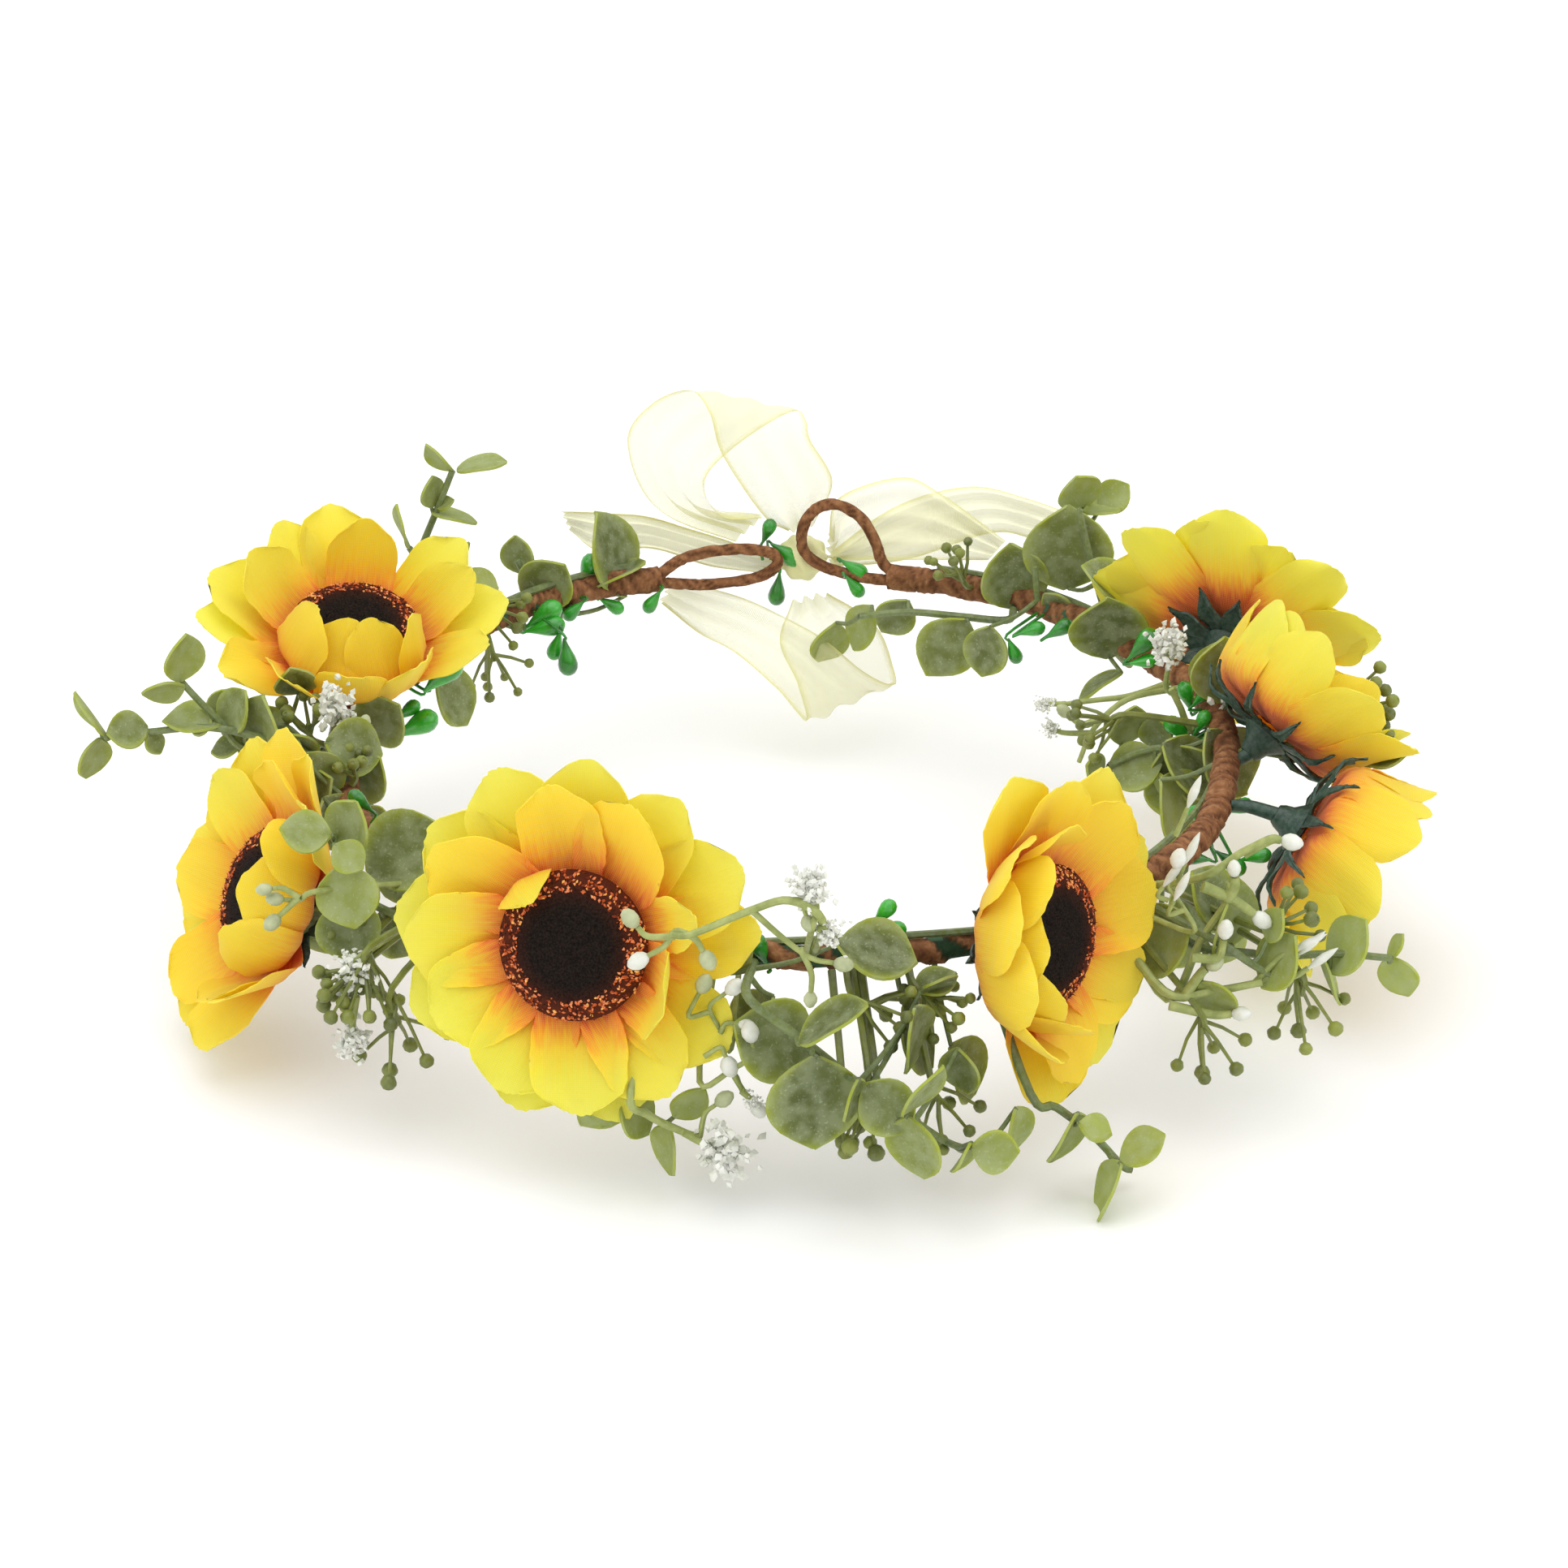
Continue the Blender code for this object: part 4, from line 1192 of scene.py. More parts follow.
            lean = Vector((within(-0.7, 0.7), within(-0.7, 0.7), 1.0)).normalized()
            hair = self.fibre.moved(seat(point, lean, within(0, 360), within(0.0005, 0.0010)))
            parts.append(hair.value("crumb", 0.0).value("tone", 0.0))
        node = f"flower_{self.number}_seed_disc"
        put(node + "_flock", joined(parts).moved(self.home), FLOCK, Slot.SEED_DISC, self.body, (node,), smooth=45.0)

    def calyx(self) -> None:
        """The green hub, its ribbed sepals and the stem to the band."""
        section = (
            (0.0020, -0.0088), (0.0026, -0.0078), (0.0031, -0.0062), (0.0044, -0.0048),
            (0.0056, -0.0036), (0.0054, -0.0026), (0.0040, -0.0022),
        )
        hub = Bench.turned(section, 16).value("tone", 0.2)
        star = []
        for i in range(self.sepals):
            petal = Petal(
                angle=360.0 * i / self.sepals + self.rng.uniform(-3.0, 3.0),
                length=self.sepal_reach * self.rng.uniform(0.92, 1.04),
                width=self.sepal_width,
                lift=self.cup * 0.9,
                curl=self.rng.uniform(-8.0, 14.0),
                trough=-0.22,
                tone=self.rng.uniform(0.1, 0.8),
            )
            star.append(self.bent(self.sepal, petal, -0.0031 - 0.00012 * (i % 2), 0.0))
        node = f"flower_{self.number}_calyx"
        put(node + "_sepals", joined(star).moved(self.home), CALYX, Slot.CALYX, thickness=0.0005, smooth=25.0)
        start = self.home @ Vector((0.0, 0.0, -0.0080))
        centre = BAND.beside(math.degrees(math.atan2(start.y, start.x)))
        end = centre + (start - centre).normalized() * 0.0026
        middle = (start + end) / 2 + (self.home @ Vector((0, 0, -0.012)) - start) * 0.35
        stem = Bench.tubes([(smooth_run([start, middle, end], 6), 0.0016)], 10).value("tone", 0.3)
        put(node + "_hub", joined([hub.moved(self.home), stem]), CALYX, Slot.CALYX, nodes=(node,))

    def build(self) -> None:
        """Petals, seeds and calyx."""
        back, front = self.own_petals()
        self.layer("petals_back", back, self.back_height)
        self.layer("petals_front", front, self.front_height)
        self.seeds()
        self.calyx()


# Petals by head: angle, length and width in millimetres, lift, curl, paleness. The paleness is partly each petal's own
# colour and partly painted shade: petals that lay in shade or behind a second layer are listed more golden.
PETALS = {
    1: (
        (122, 37, 18.5, 16, -6, 0.8), (86, 36.8, 17.5, 20, -4, 0.75), (57, 35.5, 17, 18, -10, 0.75),
        (32, 36.8, 19, 16, -6, 0.7), (8, 36, 16, 6, 0, 0.3), (-33, 35.5, 17.5, 10, -6, 0.7),
        (-70, 35.4, 17.5, 8, -8, 0.95), (-109, 35.2, 18, 8, -8, 0.95), (-152, 36, 19, 6, 0, 0.95),
        (176, 36.6, 19.5, 8, -4, 0.9), (149, 36.2, 19, 14, -6, 0.85), (100, 34, 16.5, 30, 4, 0.15),
        (64, 33, 19.5, 32, 2, 0.08), (18, 31, 11, 36, 20, 0.7), (-22, 30, 17.5, 50, 30, 0.75),
        (-52, 34, 18, 14, -10, 0.72), (-84, 33, 19, 18, -16, 0.95), (-113, 32.5, 18.5, 22, -20, 1),
        (-146, 32, 19, 20, -16, 1), (182, 33.5, 19, 18, -8, 0.8), (150, 33.5, 18, 26, -8, 0.25),
        (137, 26, 12.5, 96, 60, 0.75),
    ),
    2: (
        (98, 36.5, 17.5, 22, -4, 0.35), (78, 36, 15.5, 34, 10, 0.25), (46, 36.5, 19.5, 14, -6, 0.45),
        (8, 36.2, 19.5, 12, -8, 0.3), (-28, 36.8, 19, 8, -4, 0.65), (-62, 36.2, 17.5, 10, -12, 0.6),
        (-95, 35.5, 18, 16, -14, 0.25), (-130, 35.5, 18.5, 60, 28, 0.15), (180, 35.5, 18.5, 70, 24, 0.2),
        (150, 35, 18, 62, 18, 0.2), (122, 35.5, 16.5, 46, 8, 0.25), (38, 32.5, 17.5, 26, -4, 0.2),
        (-2, 32.5, 18.5, 22, -8, 0.12), (-42, 32, 17.5, 16, -10, 0.35), (-80, 31.5, 17.5, 24, -12, 0.15),
        (-118, 32, 18.5, 80, 36, 0.2), (-158, 32.5, 18.5, 88, 34, 0.25), (163, 32.5, 17.5, 86, 20, 0.22),
        (128, 32.5, 15.5, 74, 10, 0.25), (90, 32, 13, 58, 0, 0.3),
    ),
    3: (
        (135, 36.2, 17, 20, 0, 0.3), (110, 35.8, 18, 28, -6, 0.1), (85, 35.2, 17.5, 38, -4, 0.2),
        (60, 35, 17, 52, 0, 0.65), (160, 36, 18, 14, 0, 0.35), (185, 36.2, 18.5, 12, -6, 0.3),
        (208, 35.5, 18.5, 10, -10, 0.25), (232, 35, 17.5, 12, -14, 1), (255, 35, 19, 22, -20, 0.3),
        (282, 35.5, 19, 40, -18, 0.35), (310, 35, 18, 66, 0, 0.25), (95, 32.5, 17.5, 50, 0, 0.15),
        (48, 32, 17.5, 78, 20, 0.15), (14, 33, 20.5, 98, 38, 0.12), (-30, 32.5, 19.5, 94, 42, 0.2),
        (-68, 32, 17.5, 60, 10, 0.3), (150, 33, 16, 26, 4, 0.75), (195, 32.5, 18.5, 24, -10, 0.25),
        (240, 32, 19, 30, -16, 0.2),
    ),
    4: (
        (90, 36.2, 20, 34, 0, 0.6), (118, 35, 16, 40, 4, 0.7), (150, 35.8, 19.5, 34, -6, 0.75),
        (172, 35, 17.5, 26, -4, 0.95), (200, 35, 18.5, 40, -10, 0.35), (228, 35, 18.5, 60, -4, 0.1),
        (262, 35, 18.5, 70, 0, 0.05), (300, 35, 17, 66, 4, 0.35), (335, 35.2, 17, 44, 0, 0.75),
        (5, 35.8, 17.5, 30, -4, 0.85), (38, 35.8, 17.5, 34, 0, 0.8), (80, 32.5, 17.5, 60, 20, 0.25),
        (140, 32.5, 18, 52, 4, 0.6), (205, 33.5, 20, 112, 16, 0.15), (248, 33.5, 20.5, 124, 10, 0.05),
        (288, 33.5, 15.5, 120, 6, 0.2), (322, 33, 13.5, 98, 4, 0.35), (20, 32.5, 16, 48, 0, 0.65),
    ),
    6: (
        (270, 35, 19.5, 34, -50, 0.95), (235, 35.2, 19.5, 62, 10, 0.15), (200, 35.2, 19.5, 58, -20, 0.55),
        (160, 35, 19, 56, -10, 0.6), (120, 35, 18.5, 64, 10, 0.75), (80, 35, 19, 72, 20, 0.95),
        (40, 35, 18, 66, 30, 0.35), (0, 35, 19.5, 62, 24, 0.05), (320, 35.2, 19.5, 60, 10, 0),
        (295, 35, 17.5, 52, -10, 0.2), (250, 32.5, 19, 74, 10, 0.15), (215, 32.5, 18.5, 70, 0, 0.85),
        (170, 32, 18, 72, 10, 0.4), (100, 32.5, 17.5, 80, 10, 0.95), (20, 32.5, 17.5, 78, 30, 0.05),
        (330, 32.5, 19, 72, 26, 0.05),
    ),
    7: (
        (90, 34.6, 19, 88, -4, 0.35), (55, 34.8, 18.5, 82, -8, 0.4), (20, 36, 19, 70, -10, 0.25),
        (-15, 36.2, 19, 58, -6, 0.6), (-50, 36.2, 19.5, 52, -4, 0.8), (-90, 36.5, 20, 50, 0, 0.95),
        (-125, 36.2, 19, 54, 0, 0.9), (-160, 35.5, 18.5, 62, 4, 0.75), (165, 35, 18, 70, 0, 0.5),
        (125, 34.6, 18, 84, -2, 0.35), (75, 31, 17.5, 90, 4, 0.3), (30, 32.5, 18, 80, -12, 0.15),
        (-5, 33, 18, 66, -20, 0.65), (-70, 33, 18.5, 62, -10, 0.75), (-110, 32.5, 18.5, 64, -8, 0.9),
        (180, 32, 17.5, 76, 0, 0.55),
    ),
}


@dataclass
class SunflowerBed:
    """All seven sunflowers."""

    cups: Sequence[float] = (14.0, 14.0, 35.0, 45.0, 14.0, 59.0, 55.0)

    def build(self) -> None:
        """Models each pattern once, then every flower from it."""
        blade = Bench.blade(12, PETAL_OUTLINE)
        sepal = Bench.blade(4, SEPAL_OUTLINE)
        chip, fibre = Bench.chip(), Bench.spike()
        for number, cup in enumerate(self.cups, start=1):
            flower = Sunflower(number, cup, blade=blade, sepal=sepal, chip=chip, fibre=fibre)
            if number in (6, 7):
                flower.sepal_reach, flower.sepal_width = 0.021, 0.0030
            flower.build()


# ---------------------------------------------------------------- foliage

# Every row below is in millimetres and starts with the depth y that its pairs of x and z share.
# Leaves: depth, base, tip, width as a share of the length from the front, youth.
LEAVES = {
    "eucalyptus_front": (
        (-120, 6, -6, 5, -25, 0.9, 0.1), (-110, 5, -11, -8, -5, 1.1, 0.1), (-122, 3, -2, 15, 7, 0.3, 0.1),
        (-122, 15, -11, 22, -19, 1.1, 0.2), (-125, 14, -8, 11, -17, 0.4, 0.2), (-127, 23, -15, 27, -28, 0.6, 0.5),
        (-128, 22, -14, 30, -4, 0.3, 0.3), (-128, 35, -21, 44, -22, 0.9, 0.6), (-128, 35, -20, 32, -27, 0.3, 0.5),
        (-100, 10, 7, 25, 2, 0.6, 0), (-108, 33, -11, 35, -21, 0.6, 0.2), (-108, 25, -2, 25, -17, 0.3, 0.2),
        (-115, 44, -20, 45, -29, 0.6, 0.6), (-102, 26, -2, 33, 1, 0.4, 0.1), (-100, -14, 2, -6, 8, 0.6, 0.1),
        (-104, -2, -2, -9, -13, 0.6, 0.1),
    ),
    "eucalyptus_front_low": (
        (-106, -32, -23, -39, -30, 0.7, 0.6), (-106, -32, -23, -35, -30, 0.8, 0.7),
        (-108, -31, -21, -25, -30, 0.7, 0.6), (-110, -22, -27, -22, -38, 0.4, 0.7),
        (-110, -21, -25, -15, -19, 0.7, 0.7),
    ),
    "eucalyptus_front_right": (
        (-112, 56, -23, 52, -35, 0.4, 0.6), (-114, 56, -24, 62, -27, 0.8, 0.8), (-116, 64, -31, 72, -25, 0.5, 0.8),
        (-117, 64, -31, 60, -44, 0.3, 0.8),
    ),
    "eucalyptus_right_low": (
        (-76, 107, -12, 115, -1, 0.6, 0.8), (-72, 119, -11, 124, -19, 0.6, 0.9), (-72, 119, -11, 122, -6, 0.4, 0.9),
        (-76, 105, -8, 108, -20, 0.2, 0.8), (-82, 93, -12, 100, -1, 0.6, 0.7), (-80, 94, -3, 97, 4, 0.5, 0.8),
        (-68, 88, -6, 80, 6, 0.6, 0.1), (-76, 84, -9, 90, 8, 0.3, 0.5), (-74, 68, -12, 80, -1, 0.7, 0.5),
        (-84, 81, -10, 88, -17, 0.6, 0.6),
    ),
    "eucalyptus_left_front": (
        (-68, -86, 10, -82, 22, 0.8, 0.5), (-72, -88, 16, -98, 17, 0.8, 0.5), (-76, -87, 16, -82, 11, 1, 0.6),
        (-75, -86, 11, -84, 1, 1.2, 0.5), (-50, -75, -11, -72, 9, 0.7, 0.1), (-72, -87, 2, -84, -10, 1, 0.1),
        (-62, -80, -6, -75, -16, 0.8, 0.1),
    ),
    "eucalyptus_left": (
        (8, -89, -1, -80, 7, 1.1, 0.1), (-12, -93, -4, -82, 5, 1, 0.1), (-22, -100, -1, -92, 4, 1.2, 0.2),
        (-25, -92, -7, -92, 2, 0.8, 0.1), (6, -102, 10, -103, 16, 1.5, 0.1), (-8, -109, 0, -108, 16, 0.6, 0.3),
        (-10, -104, 0, -101, 7, 0.9, 0.1), (-30, -87, 0, -82, -4, 1.1, 0.1),
    ),
    "eucalyptus_left_high": (
        (-6, -117, 7, -111, 16, 0.7, 0.3), (-8, -117, 9, -129, 11, 0.5, 0.5), (-8, -125, 19, -123, 30, 0.6, 0.6),
        (-8, -124, 18, -133, 17, 0.3, 0.6),
    ),
    "eucalyptus_left_low": (
        (-9, -132, 9, -138, 8, 1.4, 0.3), (-9, -132, 8, -130, 3, 0.7, 0.3), (-10, -141, 8, -146, 18, 0.2, 0.5),
        (-10, -142, 7, -146, -2, 0.4, 0.6), (-4, -113, 3, -120, 1, 0.7, 0.2), (-6, -119, 11, -123, 6, 0.8, 0.3),
    ),
    "eucalyptus_back_left_tall": (
        (80, -74, 30, -80, 36, 0.4, 0.6), (80, -73, 30, -62, 33, 0.3, 0.6), (80, -79, 21, -79, 29, 0.6, 0.6),
        (80, -78, 21, -74, 23, 0.7, 0.5), (80, -79, 20, -69, 17, 0.2, 0.6), (76, -84, 13, -88, 23, 0.2, 0.5),
        (76, -80, 9, -70, 13, 0.4, 0.3),
    ),
    "eucalyptus_back_left": (
        (82, -59, 4, -61, 13, 0.9, 0.2), (78, -58, -1, -49, 9, 0.9, 0.1), (68, -73, 1, -64, 7, 1, 0.6),
        (88, -36, -4, -40, 17, 0.5, 0.1), (86, -45, -1, -31, 4, 0.4, 0.1),
    ),
    "eucalyptus_left_inner": (
        (50, -85, 9, -75, 14, 0.5, 0.1), (62, -77, 6, -72, -6, 0.6, 0.1), (48, -83, 8, -77, 3, 0.9, 0.3),
        (46, -87, -3, -74, 4, 0.3, 0.1), (46, -76, -3, -71, -17, 0.6, 0.1),
    ),
    "eucalyptus_right_high": (
        (76, 64, 3, 63, 23, 1, 0.2), (82, 67, 20, 65, 28, 1.3, 0.7), (82, 71, 20, 77, 26, 0.9, 0.7),
        (80, 67, 20, 76, 20, 0.4, 0.6), (62, 78, 6, 66, 15, 0.6, 0.2), (52, 72, -3, 70, 14, 1, 0.1),
        (76, 52, -2, 51, 14, 1, 0.1), (70, 64, -1, 58, 4, 0.8, 0.1), (64, 46, -1, 45, -13, 0.9, 0.1),
        (44, 74, -3, 64, -8, 0.3, 0.1),
    ),
    "eucalyptus_back_right": (
        (76, 28, 0, 22, -8, 0.9, 0.2), (70, 41, -2, 32, -15, 0.9, 0.2), (82, 20, -4, 16, -15, 0.6, 0.7),
        (84, 12, -9, 8, -19, 0.6, 0.7),
    ),
    "eucalyptus_right_inner": (
        (5, 80, -6, 68, -8, 0.9, 0.3), (14, 72, -6, 74, 4, 0.7, 0.5), (14, 80, -7, 79, 1, 0.9, 0.1),
        (8, 68, -9, 64, -8, 1.5, 0.5), (2, 80, 0, 90, -13, 0.7, 0.1), (4, 79, -8, 87, -21, 0.5, 0.6),
        (0, 89, 4, 94, -9, 0.6, 0.1), (14, 94, 4, 93, 19, 1, 0.1), (-12, 121, 2, 129, 4, 0.6, 0.3),
    ),
    "leaves_by_the_band": (
        (38, -75, 17, -70, 5, 0.6, 0.05), (30, -86, 2, -75, 10, 0.4, 0), (50, -63, 11, -72, 16, 0.85, 0.7),
        (0, -114, -2, -106, 8, 0.85, 0.45), (0, -120, 5, -113, 12, 0.8, 0.4), (-20, -94, 11, -82, 7, 0.95, 0.12),
        (-28, -98, 12, -94, -3, 0.75, 0.2), (-10, -104, 8, -98, 0, 0.8, 0.1), (-62, -82, 2, -67, 11, 0.9, 0.15),
        (-30, -94, 3, -90, -9, 0.7, 0.05), (-60, -94, -7, -84, -20, 0.7, 0.1), (5, 81, -2, 91, -19, 0.9, 0.15),
        (8, 92, 0, 98, -16, 0.75, 0.1), (25, 93, -1, 94, 12, 0.95, 0.1), (-5, 79, -5, 88, -20, 0.75, 0.65),
        (-45, 81, -7, 90, -20, 0.8, 0.1), (-55, 76, -22, 83, -13, 0.85, 0.4), (-60, 87, -19, 91, -10, 0.6, 0.6),
        (-100, 25, -3, 33, -1, 0.45, 0.1), (-100, 23, -6, 27, -22, 0.4, 0.15), (-100, 32, -15, 38, -28, 0.7, 0.2),
    ),
}

# Stems: depth, then points from the band outwards.
STEMS = {
    "eucalyptus_front": ((-116, -7, 5, -1, -1, 5, -6, 14, -14, 23, -21, 31, -27, 37, -29),),
    "eucalyptus_front_right": ((-108, 47, -21, 52, -24, 59, -30, 65, -37, 67, -38),),
    "eucalyptus_front_low": ((-104, -32, -21, -30, -24, -26, -28, -22, -31),),
    "eucalyptus_right_low": (
        (-76, 80, -6, 92, -8, 94, -9, 107, -8, 119, -9), (-82, 84, -2, 91, -7, 97, -11),
    ),
    "eucalyptus_left_front": ((-66, -75, -5, -84, 0, -87, 7, -88, 13),),
    "eucalyptus_left": (
        (-12, -84, -11, -89, -6, -91, 0, -88, 10), (-6, -91, -4, -99, 3, -105, 8, -109, 0),
    ),
    "eucalyptus_left_high": ((-7, -112, 3, -117, 9, -122, 15, -125, 19),),
    "eucalyptus_left_low": ((-9, -107, 6, -119, 9, -132, 8, -142, 7),),
    "eucalyptus_back_left_tall": (
        (80, -84, 2, -82, 10, -78, 20, -74, 30), (76, -78, 0, -81, 8, -84, 13),
    ),
    "eucalyptus_back_left": (
        (78, -49, -5, -54, 0, -58, 5, -60, 9), (70, -59, -4, -67, -1, -73, 4, -76, 6),
    ),
    "eucalyptus_left_inner": ((50, -67, 2, -74, 4, -83, 5),),
    "eucalyptus_right_high": (
        (72, 78, -14, 74, -6, 70, 6, 66, 22, 66, 24), (72, 59, -2, 57, 2, 56, 10),
    ),
    "eucalyptus_back_right": ((72, 50, -3, 39, -2, 28, -1, 17, -2),),
    "eucalyptus_right_inner": ((6, 88, -5, 81, -3, 75, -4, 69, -7),),
}

# Heads of small seeds: depth, foot, middle, how many, radius of a seed.
UMBELS = {
    "seed_sprig_left": (
        (-84, -80, -2, -83, -14, 16, 1.5), (-86, -76, -10, -74, -26, 6, 1.5), (-84, -83, -7, -87, -11, 6, 1.5),
    ),
    "seed_sprig_front": (
        (-114, 16, -14, 14, -26, 8, 1.6), (-114, 11, -16, 8, -26, 5, 1.6), (-114, 18, -18, 19, -27, 5, 1.5),
        (-104, 13, -2, 22, -6, 7, 1.4), (-108, 28, -18, 32, -28, 6, 1.4), (-100, 25, -2, 32, -8, 7, 1.3),
    ),
    "seed_sprig_right": (
        (-86, 80, -14, 84, -26, 6, 1.5), (-80, 99, -8, 104, -22, 7, 1.5), (-78, 94, -2, 101, 3, 6, 1.5),
    ),
    "seed_sprig_inner_right": (
        (8, 73, 4, 63, 0, 9, 1.3), (-6, 114, 11, 125, 13, 10, 1.4), (-8, 117, 8, 123, 5, 8, 1.4),
    ),
    "seed_sprig_back": (
        (78, 41, 3, 37, 10, 8, 1.2), (60, -66, -1, -63, -14, 7, 1.2), (66, -68, 4, -59, 0, 7, 1.3),
    ),
    "seed_sprig_inner_left": (
        (-2, -99, 3, -100, 10, 7, 1.5), (-22, -88, 4, -89, 8, 8, 1.3), (-70, -83, -9, -86, -3, 6, 1.3),
    ),
}

# Pips: depth, foot, end, brightness.
PIPS = (
    (97, -5, 5, -3, 10, 0.2), (97, -3, 5, 4, 0, 0.6), (96, -1, -2, -2, -10, 0.1), (92, 13, 3, 19, -1, 0.7),
    (90, 14, 0, 18, -5, 0.6), (84, -46, 0, -43, 8, 0.6), (82, -42, -2, -37, -5, 0.5), (84, -28, -1, -30, -4, 0.4),
    (70, -58, -4, -50, 2, 0.7), (68, -58, -4, -49, -2, 0.7), (66, -50, -3, -52, -10, 0.5),
    (62, -49, -3, -48, -12, 0.1), (34, -77, -2, -72, 7, 0.8), (32, -78, -2, -70, 6, 0.9),
    (16, -83, -5, -74, 0, 0.9), (18, -83, -2, -78, 2, 0.7), (24, -88, 6, -88, 10, 0.1), (-40, -83, 5, -86, 8, 0.2),
    (76, -45, 0, -49, -4, 0.3), (62, 52, -2, 58, 0, 0.5), (60, 58, -2, 64, 2, 0.1), (62, 50, -3, 52, -8, 0.5),
    (40, 75, 2, 81, 9, 0.3), (40, 75, 1, 81, 2, 0.9), (18, 87, 0, 85, 7, 0.6), (16, 87, 2, 92, 8, 0.5),
    (12, 87, -4, 81, 1, 1), (10, 88, -3, 82, -5, 1), (10, 87, -2, 89, 2, 0.6), (-26, 89, -1, 85, -2, 0.5),
    (-26, 90, -2, 96, 0, 0.4), (-38, 87, -7, 81, -6, 0.6), (-36, 93, -8, 97, -7, 0.5), (-36, 88, -6, 94, -11, 0.2),
    (-44, 78, -7, 76, -2, 0.1), (-92, 17, 7, 21, 12, 0.9), (-92, 17, 6, 20, 6, 0.9), (-94, -3, -1, -6, 6, 0.2),
    (-28, 90, -1, 87, -4, 0.4),
)

# Twigs: what the end bears, its radius, depth, points. t tuft, w white bud, g green bud,
# l long bud, n nothing.
BABYS_BREATH = {
    "babys_breath_front": (
        ("t", 3.6, -121, 5, 21, 6, 26, 5, 30), ("t", 2.6, -121, 6, 21, 7, 22, 8, 21),
        ("n", 1.05, -122, 7, 24, 1, 28, -6, 26, -17, 21, -21, 21),
        ("w", 0.9, -121, -17, 20, -20, 21, -22, 18, -25, 16), ("g", 0.9, -121, -20, 20, -25, 20, -27, 22),
        ("g", 0.9, -121, -17, 20, -16, 19, -15, 17), ("g", 0.8, -122, -6, 26, 0, 20, 5, 16, 9, 15),
        ("g", 0.8, -122, 3, 18, 5, 13, 5, 9), ("g", 0.7, -122, 0, 28, 3, 28, 4, 25),
    ),
    "babys_breath_front_low": (
        ("w", 0.7, -110, -10, -10, -12, -6, -14, -1, -11, 2), ("w", 0.7, -111, -12, -6, -11, -4, -9, -4),
        ("g", 0.7, -110, -14, -2, -18, -3, -16, 2), ("n", 0.8, -112, -16, -16, -10, -14, -8, -18),
        ("w", 0.8, -113, -10, -13, -8, -17, -6, -20), ("t", 1.5, -114, -8, -17, -7, -18, -6, -19),
        ("w", 0.7, -113, -10, -13, -6, -10, -6, -7), ("n", 1.1, -114, -29, -17, -26, -22, -19, -26, -16, -27),
        ("t", 5, -116, -19, -25, -16, -27, -12, -29), ("g", 0.7, -114, -16, -27, -15, -22, -13, -20),
        ("w", 0.7, -113, -15, -10, -12, -8, -11, -10),
    ),
    "babys_breath_left": (
        ("t", 4.4, -8, -91, 3, -91, 7, -93, 13), ("g", 0.7, -14, -90, 3, -88, 8, -87, 11),
    ),
    "babys_breath_left_low": (
        ("t", 3.6, -84, -83, -5, -84, -6, -84, -7), ("t", 3.4, -86, -83, -12, -84, -18, -84, -21),
    ),
    "babys_breath_left_front": (
        ("g", 0.8, -78, -90, 7, -94, 5, -97, 5), ("g", 0.8, -79, -94, 6, -97, 8, -99, 8),
        ("g", 0.8, -79, -94, 6, -97, 3, -98, 2),
    ),
    "babys_breath_right": (
        ("w", 0.7, -84, 79, 1, 76, 8, 74, 11, 75, 15), ("l", 0.7, -84, 74, 8, 72, 9, 73, 11),
        ("l", 0.7, -84, 76, 10, 76, 13, 77, 16), ("l", 0.7, -86, 77, 7, 74, 6, 75, 9),
        ("l", 0.7, -84, 75, 22, 76, 25, 77, 28), ("n", 1.1, -78, 81, 10, 88, 15, 93, 18),
        ("w", 1.4, -76, 89, 14, 94, 17, 96, 17), ("n", 1.1, -80, 75, -16, 81, -3, 86, 6, 86, 10),
        ("w", 1.6, -80, 86, 6, 87, 9, 87, 11), ("w", 1.5, -80, 81, 9, 87, 6, 91, 3),
        ("n", 1.2, -84, 74, -12, 83, -12, 93, -10), ("l", 0.9, -82, 93, -11, 97, -8, 100, -5),
        ("l", 0.9, -82, 93, -11, 99, -10, 102, -8), ("l", 0.9, -82, 92, -11, 96, -6, 99, -4),
        ("g", 1.4, -84, 78, -13, 81, -8, 82, -7), ("w", 1.3, -86, 75, -14, 83, -16, 87, -16),
        ("w", 1.2, -85, 79, -4, 84, -4, 85, 0),
    ),
    "babys_breath_inner_right": (
        ("t", 4, 20, 82, 4, 82, 10, 82, 14), ("t", 3.8, 14, 92, -4, 93, 1, 96, 5),
        ("n", 1.1, 12, 97, -18, 96, -9, 87, -2, 84, 4, 82, 8), ("n", 0.9, 12, 86, -2, 92, 2, 93, 2),
        ("n", 0.9, 30, 75, -2, 68, -3, 61, -4), ("t", 1.9, 30, 61, -4, 59, -4, 57, -4),
        ("n", 0.9, 26, 74, -1, 67, -8, 64, -16), ("t", 1.7, 28, 67, -10, 61, -10, 58, -9),
        ("g", 1.2, 28, 69, -6, 65, -8, 62, -6),
    ),
}


